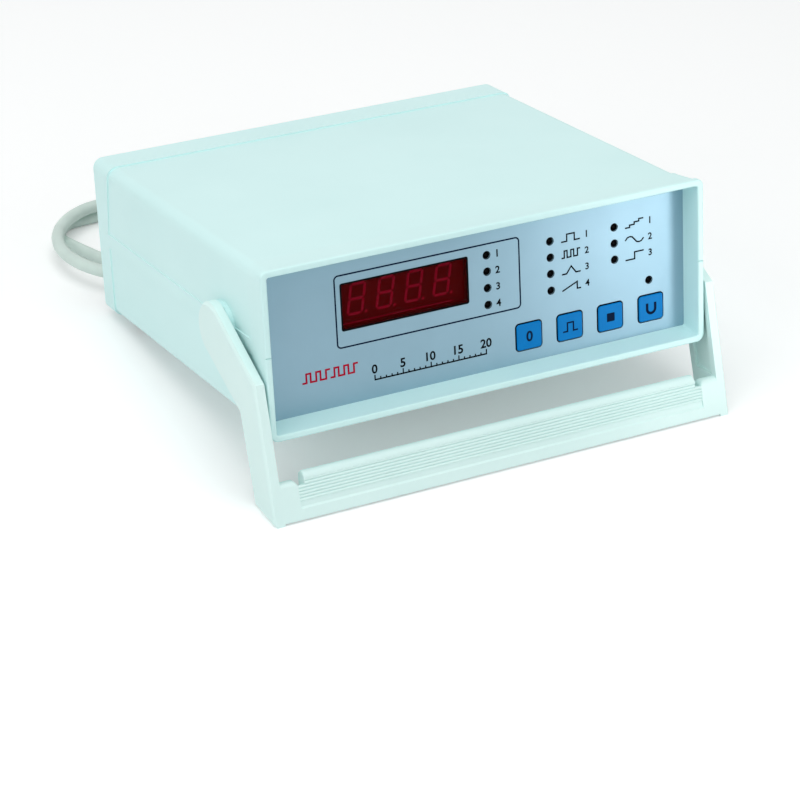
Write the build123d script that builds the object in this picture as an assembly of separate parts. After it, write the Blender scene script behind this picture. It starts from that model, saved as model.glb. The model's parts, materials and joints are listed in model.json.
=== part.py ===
from build123d import *
import math
import os

# Every length is in millimetres and every angle in degrees.
# The case is drawn with its front rim on y = 0, its base on z = 0 and x = 0 in the middle,
# and the whole timer is then leant back on its bail.

# Case
case_width = 214.0
case_depth = 191.0
case_height = 76.2
parting_height = case_height / 2
rim_flare = 0.9
rim_length = 3.0
flare_length = 15.0
long_edge_radius = 5.0
base_edge_radius = 4.0
rim_edge_radius = 3.0
rear_edge_radius = 1.5
wall = 3.1
floor_wall = 3.1
panel_sink = 0.6
sink_start = 17.0
sink_end_top = case_depth - 20.0
sink_end_parting = case_depth - 13.0
parting_band = 3.5
tongue_height = 2.0
tongue_thickness = 1.2
tongue_clearance = 0.15
tongue_end_gap = 2.0
tongue_pad_gap = 1.0

# Recess in front of the panel
rim_wall = 3.0
crease_depth = 4.2
recess_corner = 1.0
panel_depth = 12.5
recess_rise = 1.3
groove_bite = 1.0
overlay_thickness = 0.4
panel_thickness = 2.0
panel_clearance = 0.2
rear_recess = 6.2

# Lean of the timer on its bail and rear feet
tilt = 8.7
foot_radius = 6.0
foot_tip_radius = 5.4
foot_height = 4.5
foot_socket = 1.0
foot_x = case_width / 2 - 15.0
front_foot_y = 24.0
rear_foot_y = case_depth - 21.0

# Case screws, driven from below
boss_radius = 4.0
case_screw_radius = 1.5
case_screw_head_radius = 2.8
case_screw_head = 2.4
case_screw_head_cover = 0.4
case_screw_bite = 14.0
case_screw_x = case_width / 2 - 15.0
front_boss_y = 36.0
rear_boss_y = case_depth - 45.0
boss_screw_end = 10.0
boss_clearance = 0.2
screw_clearance = 0.15
thread_gap = 0.03
slot_width = 0.8
slot_depth = 0.8
slot_length = 4.0
boss_bite = 0.5
blind_floor = 0.6
overrun = 5.0

# Bail pivot
pivot_y = 44.6
pivot_z = parting_height
hub_radius = 9.0
hub_clearance = 0.08
pivot_pad_radius = 12.0
pivot_gap = 0.3
washer_radius = 12.0
washer_thickness = 1.2
pivot_screw_radius = 2.0
pivot_screw_head_radius = 3.8
pivot_screw_head = 2.4
pivot_screw_length = 8.0

# Bail arms and bar
arm_gap = 1.0
arm_inner_x = case_width / 2 + arm_gap
arm_thickness = 5.0
arm_end_radius = 12.4
arm_slope = 28.8
kink = (pivot_y - 43.93, pivot_z - 10.9)
elbow = (pivot_y - 26.0, pivot_z - 28.6)
leg_front_lean = 11.45
leg_rear_lean = 13.7
arm_edge_chamfer = 1.2
channel_depth = 1.6
channel_border = 3.6
block_width = 8.3
block_inner_x = arm_inner_x - block_width
block_top_z = -15.4
block_lip = 5.0
block_top_radius = 2.4
block_corner_radius = 3.0
block_step = 2.0
foot_lift = 1.0
bar_back = 12.0
bar_wall = 2.4
bar_crest = 1.4
bar_rear_drop = 5.8
roll_radius = 3.0
roll_top_z = -12.5
roll_end_gap = 3.0
roll_end_x = block_inner_x - roll_end_gap
rib_count = 7
ribs_below_roll = 2
rib_pitch = 1.34
rib_radius = 0.62
rib_recess = 0.65
rib_top_z = -15.0
bar_notch_z = rib_top_z - ribs_below_roll * rib_pitch
neck_root = 3.0
ledge_top_z = -26.7
ledge_low_z = -27.4
tenon_length = 9.0
tenon_clearance = 0.1
tenon_floor_gap = 1.8
tenon_drop = 6.3
bar_screw_sink = 0.5
bar_screw_head = 1.2
bar_screw_head_radius = 2.2
bar_screw_radius = 1.2
bar_screw_length = 5.7

# Display window, digits and lamps, as seen on the front panel
window_x = (-65.5, -4.9)
window_z = (37.9, 58.8)
window_clearance = 0.15
window_flange = 2.0
window_flange_thickness = 1.0
window_setback = 0.1
digit_count = 4
digit_pitch = 13.68
digit_first_x = -57.9
digit_z = 48.4
digit_width = 12.6
digit_height = 19.0
digit_depth = 8.0
digit_pin_rows = 7.62
digit_pin_pitch = 2.54
digit_pin_width = 0.5
digit_pin_columns = 5
pin_hole_gap = 0.15
lamp_radius = 1.5
lamp_hole_radius = 1.6
lamp_rows = (57.7, 50.2, 42.65, 34.9)
unit_lamp_x = 4.55
function_lamp_x = 35.96
mode_lamp_x = 68.4
mode_lamp_count = 3
magnet_lamp = (85.9, 29.6)
lamp_body = 4.6
lamp_setback = 0.5
lamp_flange_radius = 1.9
lamp_flange = 1.0
lamp_lead = 0.5
lamp_lead_spacing = 1.27
pin_reach = 2.4

# Keys
key_x = (24.1, 44.8, 65.5, 86.5)
key_z = 16.4
key_width = 12.4
key_height = 12.1
key_corner = 1.4
key_gap = 0.35
key_proud = 0.7
key_flange = 1.1
key_flange_thickness = 1.0
key_rest_gap = 0.3
key_travel = 0.5
key_stem_radius = 2.6
key_stem_clearance = 0.2
key_stem_gap = 0.4
key_chamfer = 0.35
switch_size = 12.0
switch_depth = 4.4
switch_bore_depth = 2.2

# Circuit boards
board_thickness = 1.6
display_board_y = 24.4
display_board_side_gap = 1.5
display_board_end_gap = 4.1
display_board_x = (-84.0, case_width / 2 - rim_flare - wall - display_board_side_gap)
display_board_z = (rim_flare + floor_wall + display_board_end_gap,
                   case_height - rim_flare - wall - display_board_end_gap)
standoff_radius = 3.0
standoff_screw_radius = 1.4
standoff_screw_head_radius = 2.6
standoff_screw_head = 1.8
standoff_inset = 4.0
standoff_shank = 6.0
standoff_root = 1.0
standoff_places = [(x, z) for x in (display_board_x[0] + standoff_inset, display_board_x[1] - standoff_inset)
                   for z in (display_board_z[0] + standoff_inset, display_board_z[1] - standoff_inset)]
main_board_x = (-85.0, 30.0)
main_board_rear_gap = 6.8
main_board_y = (62.0, case_depth - rear_recess - panel_thickness - main_board_rear_gap)
main_board_lift = 6.0
main_board_z = rim_flare + floor_wall + main_board_lift
main_board_inset = 6.0
driver_chip_x = (-50.0, -20.0, 10.0)
driver_chip_z = (22.0, 28.4)
driver_chip_length = 20.0
driver_chip_height = 3.4
socket_x = (-66.0, -13.0)
socket_y = (96.0, 111.0)
socket_height = 4.0
chip_inset = 0.7
chip_notch_radius = 1.5
chip_notch_depth = 1.0
crystal_place = (-40.0, 88.0)
crystal_length = 11.0
crystal_width = 4.6
crystal_height = 3.6
# Place, radius and height of each upright can
can_sizes = ((10.0, 130.0, 8.0, 25.0), (10.0, 112.0, 6.5, 16.0), (-8.0, 146.0, 5.0, 12.0))
can_edge_radius = 0.8
sink_width = 28.0
sink_front_y = 157.0
sink_plate = 2.0
sink_height = 24.0
fin_count = 5
fin_thickness = 1.2
fin_length = 6.0
regulator_width = 10.0
regulator_depth = 4.5
regulator_lift = 3.0
regulator_height = 9.5
regulator_tab = 1.3
regulator_tab_height = 6.0
regulator_lead = 0.8
regulator_lead_back = 2.6
rectifier_x = (-30.0, -14.0)
rectifier_y = (128.0, 133.0)
rectifier_height = 15.0
header_x = -40.0
header_z = 50.0
header_length = 24.0
header_width = 6.0
header_depth = 6.0
header_inset = 8.0
ribbon_width = 20.0
ribbon_thickness = 1.0
ribbon_bend = 20.0
board_boss_radius = 3.2
board_screw_shank = 5.0

# Transformer
transformer_x = 66.0
transformer_y = 122.0
core_width = 48.0
core_stack = 24.0
core_height = 40.0
core_leg = 16.0
core_window = 8.0
core_window_height = 24.0
coil_reach = 8.0
coil_clearance = 0.3
bracket_sheet = 1.0
bracket_width = 14.0
bracket_lug = 11.0
transformer_boss_radius = 4.2
rest_width = 2.0
rest_length = 16.0
coil_corner_radius = 3.0

# Rear panel fittings
rocker_place = (62.0, 52.0)
rocker_width = 9.0
rocker_height = 16.0
rocker_body_width = 13.0
rocker_body_height = 21.0
rocker_body_depth = 16.0
rocker_throw = 14.0
rocker_radius = 11.0
rocker_gap = 0.35
rocker_pocket = 8.0
bezel_height = 1.5
rocker_bezel_border = 1.0
rocker_thickness = 4.4
rocker_dip = 1.1
rocker_axis_height = 0.5
rocker_pin_radius = 1.0
rocker_pin_clearance = 0.06
rocker_hub_radius = 2.4
rocker_tab = 6.0
tab_thickness = 0.8
tab_width = 4.8
tab_offset = 6.0
fuse_place = (86.0, 52.0)
fuse_radius = 6.0
fuse_depth = 22.0
fuse_tab = 5.0
fuse_flange = 1.6
fuse_flange_border = 1.8
fuse_cap = 5.4
fuse_cap_inset = 0.6
fuse_slot_length = 11.0
fuse_slot = 1.4
gland_place = (85.0, 18.0)
gland_radius = 5.5
gland_flange_radius = 7.5
gland_inside = 8.0
gland_flange = 2.0
gland_inside_border = 1.5
relief_length = 34.0
relief_radius = 5.2
relief_tip_radius = 4.0
jack_x = (-70.0, -46.0)
jack_z = 19.0
jack_bore_radius = 1.8
jack_nose_radius = 4.0
jack_nose = 4.0
jack_body_half = 6.0
jack_body_depth = 17.0
jack_bore_depth = 13.0
nut_thickness = 2.0
nut_border = 2.0
post_x = (-16.0, 4.0)
post_z = 46.0
post_radius = 5.5
post_stud_radius = 4.0
post_bore_radius = 2.05
post_bore_depth = 14.0
post_knob = 9.5
post_collar = 2.5
post_stud = 8.0
post_collar_border = 1.0
post_nut_radius = 6.5
post_nut_thickness = 3.0

# Mains cord
cord_diameter = 6.2
cord_floor = 3.1
layer_step = 7.0
wire_radius = 1.0
wire_bend = 3.0
magnet_wire_bend = 2.5
wire_drop = 5.0
wire_arch = 14.0
tab_landing = 4.0
coil_landing = 2.0
landing_inset = 10.0

case_half = case_width / 2
body_half = case_half - rim_flare
body_low = rim_flare
body_high = case_height - rim_flare
cavity_half = body_half - wall
cavity_low = body_low + floor_wall
cavity_high = body_high - wall
recess_half = case_half - rim_wall
panel_back = panel_depth + overlay_thickness + panel_thickness
rear_face = case_depth - rear_recess
rear_back = rear_face - panel_thickness
panel_half = recess_half + groove_bite
panel_low = rim_wall + recess_rise - groove_bite
panel_high = case_height - rim_wall - recess_rise + groove_bite
arm_outer_x = arm_inner_x + arm_thickness
contact_y = rear_foot_y + foot_tip_radius


def floor_height(y):
    """Height, in the case's own frame, of the surface that the leaning timer stands on."""
    return -foot_height - (contact_y - y) * math.tan(math.radians(tilt))


def block(x, y, z):
    """A box between two limits on each axis."""
    centre = Pos(sum(x) / 2, sum(y) / 2, sum(z) / 2)
    return centre * Box(x[1] - x[0], y[1] - y[0], z[1] - z[0])


def rod(axis, low, high, a, b, radius, end_radius=None):
    """A cylinder or cone along an axis, through the point a, b of the other two in X, Y, Z order."""
    origin = {"x": (low, a, b), "y": (a, low, b), "z": (a, b, low)}[axis]
    turn = {"x": Rot(0, 90, 0), "y": Rot(-90, 0, 0), "z": Rot(0, 0, 0)}[axis]
    base = (Align.CENTER, Align.CENTER, Align.MIN)
    if end_radius is None:
        return Pos(*origin) * turn * Cylinder(radius, high - low, align=base)
    return Pos(*origin) * turn * Cone(radius, end_radius, high - low, align=base)


def upright(y, half_width, low, high, low_radius=0.0, high_radius=0.0):
    """A rectangle that faces the front, with its lower and upper corners rounded."""
    face = Plane.XZ.offset(-y) * Pos(0, (low + high) / 2) * Rectangle(2 * half_width, high - low)
    if low_radius:
        face = fillet(face.vertices().group_by(Axis.Z)[0], low_radius)
    if high_radius:
        face = fillet(face.vertices().group_by(Axis.Z)[-1], high_radius)
    return face


def run_back(face, length):
    """Extrude a face that stands upright towards the rear."""
    return extrude(face, amount=length, dir=(0, 1, 0))


def side_profile(points, x, thickness):
    """Extrude an outline of y, z points along X, from x outwards by the thickness."""
    outline = Plane.YZ.offset(x) * make_face(Polyline(*points, close=True))
    return extrude(outline, amount=thickness, dir=(1, 0, 0))


def mirrored(solid):
    return mirror(solid, about=Plane.YZ)


def fuse(solids):
    """Join a list of solids into one part."""
    return Part() + solids


def group(solids):
    """Keep separate solids together as one sub-part."""
    return Compound([part for solid in solids for part in (Part() + solid).solids()])


# Case shells
def case_outside():
    """The closed outer form: a flared rim in front of a body with sunk top, sides and base."""
    rim = upright(0, case_half, 0, case_height, base_edge_radius, rim_edge_radius)
    collar = run_back(rim, rim_length)
    flare_front = upright(rim_length, case_half, 0, case_height, base_edge_radius, long_edge_radius)
    flare_rear = upright(flare_length, body_half, body_low, body_high, base_edge_radius, long_edge_radius)
    flare = loft([flare_front, flare_rear], ruled=True)
    body = run_back(flare_rear, case_depth - flare_length)
    solid = collar + flare + body
    rear_edges = solid.faces().sort_by(Axis.Y)[-1].edges()
    solid = fillet(rear_edges, rear_edge_radius)
    return solid - sunk_band(upper=True) - sunk_band(upper=False)


def sunk_band(upper):
    """The thin layer taken off the top and sides, or off the base and sides, between the bands."""
    core = upright(sink_start, body_half - panel_sink, body_low + panel_sink, body_high - panel_sink,
                   base_edge_radius, long_edge_radius)
    reach = case_half + overrun
    if upper:
        low, high = parting_height + parting_band, case_height + overrun
        end_high = sink_end_top
    else:
        low, high = -overrun, parting_height - parting_band
        end_high = sink_end_parting
    outline = [(sink_start, low), (sink_end_parting, low), (end_high, high), (sink_start, high)]
    return side_profile(outline, -reach, 2 * reach) - run_back(core, case_depth)


def case_hollow():
    """Everything that is empty inside: recess, panel grooves, cavity and the open rear."""
    opening = (recess_half, rim_wall, case_height - rim_wall, recess_corner, recess_corner)
    mouth = upright(0, *opening)
    crease = upright(crease_depth, *opening)
    inner = upright(panel_depth, recess_half, rim_wall + recess_rise,
                    case_height - rim_wall - recess_rise, recess_corner, recess_corner)
    recess = run_back(mouth, crease_depth) + loft([crease, inner], ruled=True)
    front_groove = run_back(upright(panel_depth, panel_half, panel_low, panel_high),
                            panel_back - panel_depth)
    cavity = run_back(upright(panel_back, cavity_half, cavity_low, cavity_high), case_depth - panel_back)
    rear_groove = run_back(upright(rear_back, panel_half, panel_low, panel_high), panel_thickness)
    return recess + front_groove + cavity + rear_groove


def boss_places():
    """The x, y places of the four case screws."""
    return [(side * case_screw_x, y) for side in (-1, 1) for y in (front_boss_y, rear_boss_y)]


def foot_places():
    return [(side * foot_x, y) for side in (-1, 1) for y in (front_foot_y, rear_foot_y)]


def board_screw_places():
    """The x, y places of the four screws of the main board."""
    return [(x, y) for x in (main_board_x[0] + main_board_inset, main_board_x[1] - main_board_inset)
            for y in (main_board_y[0] + main_board_inset, main_board_y[1] - main_board_inset)]


def transformer_screw_places():
    offset = core_width / 2 + bracket_sheet + bracket_lug / 2
    return [(transformer_x - offset, transformer_y), (transformer_x + offset, transformer_y)]


def pivot_pads():
    """Round pads on both sides of the case, which the bail's arms turn against."""
    face = arm_inner_x - pivot_gap
    right = rod("x", cavity_half, face, pivot_y, pivot_z, pivot_pad_radius)
    return right + mirrored(right)


def pivot_bores():
    reach = arm_inner_x + arm_thickness
    return rod("x", -reach, reach, pivot_y, pivot_z, hub_radius + hub_clearance)


def tongue(clearance):
    """The lip of the lower shell that locates the upper one, on both sides."""
    inner, outer = cavity_half, cavity_half + tongue_thickness + clearance
    top = parting_height + tongue_height + clearance
    right = block((inner, outer), (panel_back + tongue_end_gap, rear_back - tongue_end_gap),
                  (parting_height, top))
    right -= rod("x", inner - overrun, outer + overrun, pivot_y, pivot_z,
                 pivot_pad_radius + tongue_pad_gap - clearance)
    return right + mirrored(right)


def shells():
    """The upper and lower halves of the case, cut apart at the parting line."""
    whole = case_outside() - case_hollow() + pivot_pads() - pivot_bores()
    reach = case_half + overrun
    run = (-overrun, case_depth + overrun)
    above = block((-reach, reach), run, (parting_height, case_height + overrun))
    below = block((-reach, reach), run, (-overrun, parting_height))
    upper = whole & above
    lower = whole & below
    upper -= tongue(tongue_clearance)
    lower += tongue(0)
    for x, y in boss_places():
        upper += rod("z", parting_height, cavity_high + boss_bite, x, y, boss_radius)
        lower += rod("z", cavity_low - boss_bite, parting_height - boss_clearance, x, y, boss_radius)
    for x, y in boss_places():
        upper -= rod("z", parting_height, cavity_high - boss_screw_end, x, y, case_screw_radius + thread_gap)
        lower -= rod("z", -overrun, parting_height, x, y, case_screw_radius + screw_clearance)
        lower -= rod("z", -overrun, case_screw_seat(), x, y,
                     case_screw_head_radius + screw_clearance)
    for x, y in foot_places():
        lower -= rod("z", -overrun, foot_top(), x, y, foot_radius + thread_gap)
    for x, y in board_screw_places():
        lower += rod("z", cavity_low - boss_bite, main_board_z, x, y, board_boss_radius)
        lower -= rod("z", cavity_low + blind_floor, main_board_z, x, y, standoff_screw_radius + thread_gap)
    for x, y in transformer_screw_places():
        lower += rod("z", cavity_low - boss_bite, main_board_z, x, y, transformer_boss_radius)
        lower -= rod("z", cavity_low + blind_floor, main_board_z, x, y, standoff_screw_radius + thread_gap)
    for side in (-1, 1):
        x = transformer_x + side * core_width / 4
        lower += block((x - rest_width / 2, x + rest_width / 2),
                       (transformer_y - rest_length / 2, transformer_y + rest_length / 2),
                       (cavity_low - boss_bite, main_board_z))
    return upper, lower


def case_screw_seat():
    """Height that the heads of the case screws are driven up to."""
    return body_low + panel_sink + case_screw_head + case_screw_head_cover


def foot_top():
    """Height of the bottom of the sockets that the rubber feet are glued into."""
    return body_low + panel_sink + foot_socket


def rubber_feet():
    feet = []
    for x, y in foot_places():
        tip = rod("z", -foot_height, 0, x, y, foot_tip_radius, foot_radius)
        feet.append(tip + rod("z", 0, foot_top(), x, y, foot_radius))
    return group(feet)


def case_screws():
    """Long screws that pull the shells together, sunk in the base."""
    screws = []
    head_top = case_screw_seat()
    head_low = head_top - case_screw_head
    half, long_half = slot_width / 2, slot_length / 2
    for x, y in boss_places():
        head = rod("z", head_low, head_top, x, y, case_screw_head_radius)
        shank = rod("z", head_top, parting_height + case_screw_bite, x, y, case_screw_radius)
        depth = (head_low, head_low + slot_depth)
        slot = block((x - long_half, x + long_half), (y - half, y + half), depth)
        cross = block((x - half, x + half), (y - long_half, y + long_half), depth)
        screws.append(head + shank - slot - cross)
    return group(screws)


# Front panel
def lamp_places():
    """The x, z places of the twelve indicator lamps, column by column."""
    places = [(x, z) for x in (unit_lamp_x, function_lamp_x) for z in lamp_rows]
    places += [(mode_lamp_x, z) for z in lamp_rows[:mode_lamp_count]]
    return places + [magnet_lamp]


def key_outline(grow, y, length):
    """A rounded square prism for each key, larger than the key by grow on every side."""
    prisms = []
    for x in key_x:
        sketch = Plane.XZ.offset(-y) * Pos(x, key_z) * RectangleRounded(
            key_width + 2 * grow, key_height + 2 * grow, key_corner + grow)
        prisms.append(run_back(sketch, length))
    return prisms


def panel_openings(y, length):
    """What is cut through the panel and its overlay: window, keys and lamp holes."""
    gap = window_clearance
    cuts = block((window_x[0] - gap, window_x[1] + gap), (y, y + length),
                 (window_z[0] - gap, window_z[1] + gap))
    for prism in key_outline(key_gap, y, length):
        cuts += prism
    for x, z in lamp_places():
        cuts += rod("y", y, y + length, x, z, lamp_hole_radius)
    return cuts


def panel_plate(y, thickness):
    plate = run_back(upright(y, panel_half - panel_clearance, panel_low + panel_clearance,
                             panel_high - panel_clearance), thickness)
    return plate - panel_openings(y, thickness)


def panel_overlay():
    return panel_plate(panel_depth, overlay_thickness)


def front_panel():
    """The plate behind the overlay, with the screwed standoffs of the display board moulded on."""
    back = panel_depth + overlay_thickness
    plate = panel_plate(back, panel_thickness)
    for x, z in standoff_places:
        plate += rod("y", panel_back - boss_bite, display_board_y, x, z, standoff_radius)
        plate -= rod("y", panel_back + standoff_root, display_board_y, x, z,
                     standoff_screw_radius + thread_gap)
    return plate


def display_window():
    """The red filter: a plug through the panel with a flange against its back."""
    plug = block(window_x, (panel_depth + window_setback, panel_back), window_z)
    flange = block((window_x[0] - window_flange, window_x[1] + window_flange),
                   (panel_back, panel_back + window_flange_thickness),
                   (window_z[0] - window_flange, window_z[1] + window_flange))
    return plug + flange


def digit_module(index):
    """One seven-segment module, whose back stands on the display board."""
    x = digit_first_x + index * digit_pitch
    half = digit_width / 2
    y = (display_board_y - digit_depth, display_board_y)
    z = (digit_z - digit_height / 2, digit_z + digit_height / 2)
    return block((x - half, x + half), y, z)


def digit_pins(index):
    """Two rows of pins that pass through the board."""
    x = digit_first_x + index * digit_pitch
    half = digit_pin_width / 2
    depth = (display_board_y - boss_bite, display_board_y + pin_reach)
    pins = []
    for side in (-1, 1):
        for column in range(digit_pin_columns):
            px = x + (column - (digit_pin_columns - 1) / 2) * digit_pin_pitch
            pz = digit_z + side * digit_pin_rows
            pins.append(block((px - half, px + half), depth, (pz - half, pz + half)))
    return pins


def digit_modules():
    """The four modules with their pins."""
    return group([fuse([digit_module(i)] + digit_pins(i)) for i in range(digit_count)])


def indicator_lamps():
    """Twelve domed lamps behind their holes, on leads that reach the display board."""
    lamps = []
    tip = panel_depth + lamp_setback
    for x, z in lamp_places():
        dome_end = tip + lamp_radius
        body = rod("y", dome_end, tip + lamp_body, x, z, lamp_radius)
        dome = Pos(x, dome_end, z) * Sphere(lamp_radius)
        flange = rod("y", tip + lamp_body - lamp_flange, tip + lamp_body, x, z, lamp_flange_radius)
        lamp = body + dome + flange
        for side in (-1, 1):
            lx = x + side * lamp_lead_spacing
            half = lamp_lead / 2
            lamp += block((lx - half, lx + half), (tip + lamp_body - boss_bite, display_board_y + pin_reach),
                          (z - half, z + half))
        lamps.append(lamp)
    return group(lamps)


def key_cap(index):
    """A blue cap with a flange behind the panel and a stem that enters its switch."""
    x = key_x[index]
    front = panel_depth - key_proud
    flange_front = panel_back + key_rest_gap
    cap = key_outline(0, front, flange_front - front)[index]
    cap = chamfer(cap.faces().sort_by(Axis.Y)[0].edges(), key_chamfer)
    flange = block((x - key_width / 2 - key_flange, x + key_width / 2 + key_flange),
                   (flange_front, flange_front + key_flange_thickness),
                   (key_z - key_height / 2 - key_flange, key_z + key_height / 2 + key_flange))
    switch_front = display_board_y - switch_depth
    stem = rod("y", flange_front, switch_front + switch_bore_depth - key_travel - key_stem_gap, x, key_z,
               key_stem_radius)
    return cap + flange + stem


def key_switches():
    """Push switches on the display board, bored for the stems of the keys."""
    half = switch_size / 2
    switches = []
    for x in key_x:
        front = display_board_y - switch_depth
        body = block((x - half, x + half), (front, display_board_y), (key_z - half, key_z + half))
        bore = rod("y", front, front + switch_bore_depth, x, key_z, key_stem_radius + key_stem_clearance)
        switches.append(body - bore)
    return group(switches)


def display_board():
    """The board behind the panel, drilled for screws, and slotted for digit pins and lamp leads."""
    def slot(x, z, reach):
        """A slot for a row of pins that reaches that far to both sides."""
        half = digit_pin_width / 2 + pin_hole_gap
        return block((x - reach - half, x + reach + half), y, (z - half, z + half))

    y = (display_board_y, display_board_y + board_thickness)
    board = block(display_board_x, y, display_board_z)
    for x, z in standoff_places:
        board -= rod("y", y[0], y[1], x, z, standoff_screw_radius + screw_clearance)
    holes = []
    for i in range(digit_count):
        for side in (-1, 1):
            z = digit_z + side * digit_pin_rows
            x = digit_first_x + i * digit_pitch
            holes.append(slot(x, z, (digit_pin_columns - 1) / 2 * digit_pin_pitch))
    for x, z in lamp_places():
        holes.append(slot(x, z, lamp_lead_spacing))
    return board - holes


def display_board_screws():
    screws = []
    back = display_board_y + board_thickness
    for x, z in standoff_places:
        head = rod("y", back, back + standoff_screw_head, x, z, standoff_screw_head_radius)
        shank = rod("y", back - standoff_shank, back, x, z, standoff_screw_radius)
        top = back + standoff_screw_head
        slot = block((x - slot_length / 2, x + slot_length / 2), (top - slot_depth, top),
                     (z - slot_width / 2, z + slot_width / 2))
        screws.append(head + shank - slot)
    return group(screws)


def driver_chips():
    """Flat packages on the back of the display board."""
    back = display_board_y + board_thickness
    half = driver_chip_length / 2
    return group([block((x - half, x + half), (back, back + driver_chip_height), driver_chip_z)
                  for x in driver_chip_x])


# Main board
def main_board():
    z = (main_board_z, main_board_z + board_thickness)
    board = block(main_board_x, main_board_y, z)
    for x, y in board_screw_places():
        board -= rod("z", z[0], z[1], x, y, standoff_screw_radius + screw_clearance)
    return board


def main_board_screws():
    screws = []
    top = main_board_z + board_thickness
    for x, y in board_screw_places():
        head = rod("z", top, top + standoff_screw_head, x, y, standoff_screw_head_radius)
        shank = rod("z", top - board_screw_shank, top, x, y, standoff_screw_radius)
        crown = top + standoff_screw_head
        slot = block((x - slot_length / 2, x + slot_length / 2), (y - slot_width / 2, y + slot_width / 2),
                     (crown - slot_depth, crown))
        screws.append(head + shank - slot)
    return group(screws)


def board_top():
    return main_board_z + board_thickness


def control_chip():
    """The forty-pin controller in its socket."""
    low = board_top()
    left, front = socket_x[0] + chip_inset, socket_y[0] + chip_inset
    right, rear = socket_x[1] - chip_inset, socket_y[1] - chip_inset
    top = low + 2 * socket_height
    socket = block(socket_x, socket_y, (low, low + socket_height))
    chip = block((left, right), (front, rear), (low + socket_height, top))
    notch = rod("z", top - chip_notch_depth, top, left, sum(socket_y) / 2, chip_notch_radius)
    return group([socket, chip - notch])


def crystal():
    sketch = Pos(*crystal_place, board_top()) * SlotOverall(crystal_length, crystal_width)
    return extrude(sketch, amount=crystal_height)


def capacitors():
    """Three upright electrolytic cans."""
    cans = []
    for x, y, radius, height in can_sizes:
        can = rod("z", board_top(), board_top() + height, x, y, radius)
        cans.append(fillet(can.edges().sort_by(Axis.Z)[-1], can_edge_radius))
    return group(cans)


def heat_sink():
    """A finned aluminium sink that stands on the board behind the regulator."""
    low = board_top()
    height = (low, low + sink_height)
    half, front = sink_width / 2, sink_front_y + sink_plate
    sink = block((-half, half), (sink_front_y, front), height)
    for i in range(fin_count):
        x = -half + i * (sink_width - fin_thickness) / (fin_count - 1)
        sink += block((x, x + fin_thickness), (front - boss_bite, front + fin_length), height)
    return sink


def voltage_regulator():
    """The regulator's body and tab, screwed flat to the sink."""
    low = board_top()
    half = regulator_width / 2
    body_z = (low + regulator_lift, low + regulator_lift + regulator_height)
    part = block((-half, half), (sink_front_y - regulator_depth, sink_front_y), body_z)
    part += block((-half, half), (sink_front_y - regulator_tab, sink_front_y),
                  (body_z[1] - boss_bite, body_z[1] + regulator_tab_height))
    lead_y = (sink_front_y - regulator_lead_back, sink_front_y - regulator_lead_back + regulator_lead)
    for i in (-1, 0, 1):
        x = i * digit_pin_pitch
        part += block((x - regulator_lead / 2, x + regulator_lead / 2), lead_y, (low, body_z[0] + boss_bite))
    return part


def bridge_rectifier():
    low = board_top()
    return block(rectifier_x, rectifier_y, (low, low + rectifier_height))


def ribbon_ends():
    """The y of the upper header's face, and the y and z of the lower header's top."""
    return (display_board_y + board_thickness + header_depth, main_board_y[0] + header_inset,
            board_top() + header_depth)


def ribbon_headers():
    """The two boxed headers that the ribbon cable runs between."""
    start_y, end_y, end_z = ribbon_ends()
    x = (header_x - header_length / 2, header_x + header_length / 2)
    half = header_width / 2
    upper = block(x, (start_y - header_depth, start_y), (header_z - half, header_z + half))
    lower = block(x, (end_y - half, end_y + half), (end_z - header_depth, end_z))
    return group([upper, lower])


def ribbon_cable():
    """Flat cable that arches from the display board down to the main board."""
    start_y, end_y, end_z = ribbon_ends()
    path = FilletPolyline((start_y, header_z), (end_y, header_z), (end_y, end_z), radius=ribbon_bend)
    strip = Plane.YZ.offset(header_x - ribbon_width / 2) * trace(path, line_width=ribbon_thickness)
    return extrude(strip, amount=ribbon_width, dir=(1, 0, 0))


# Transformer
def transformer_core():
    """Stacked laminations with two windows beside the middle leg."""
    x, y, low = transformer_x, transformer_y, main_board_z
    core = block((x - core_width / 2, x + core_width / 2), (y - core_stack / 2, y + core_stack / 2),
                 (low, low + core_height))
    middle = low + core_height / 2
    for side in (-1, 1):
        inner = x + side * core_leg / 2
        outer = inner + side * core_window
        core -= block((min(inner, outer), max(inner, outer)), (y - core_stack, y + core_stack),
                      (middle - core_window_height / 2, middle + core_window_height / 2))
    return core


def transformer_coil():
    """The wound bobbin, which fills the windows and stands out in front and behind."""
    x, y, gap = transformer_x, transformer_y, coil_clearance
    middle = main_board_z + core_height / 2
    height = core_window_height - 2 * gap
    outer_x = core_leg + 2 * core_window - 2 * gap
    outer_y = core_stack + 2 * coil_reach
    ring = Pos(x, y, middle) * Box(outer_x, outer_y, height)
    ring = fillet(ring.edges().filter_by(Axis.Z), coil_corner_radius)
    return ring - Pos(x, y, middle) * Box(core_leg + 2 * gap, core_stack + 2 * gap, height)


def transformer_bracket():
    """The steel strap over the core, with a screwed lug on each side."""
    x, y, low = transformer_x, transformer_y, main_board_z
    half = core_width / 2
    width = (y - bracket_width / 2, y + bracket_width / 2)
    top = low + core_height
    strap = block((x - half - bracket_sheet, x + half + bracket_sheet), width, (top, top + bracket_sheet))
    for side in (-1, 1):
        inner, outer = x + side * half, x + side * (half + bracket_sheet)
        strap += block((min(inner, outer), max(inner, outer)), width, (low, top + bracket_sheet))
        tip = x + side * (half + bracket_sheet + bracket_lug)
        strap += block((min(outer, tip), max(outer, tip)), width, (low, low + bracket_sheet))
    for px, py in transformer_screw_places():
        strap -= rod("z", low, low + bracket_sheet, px, py, standoff_screw_radius + screw_clearance)
    return strap


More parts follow.
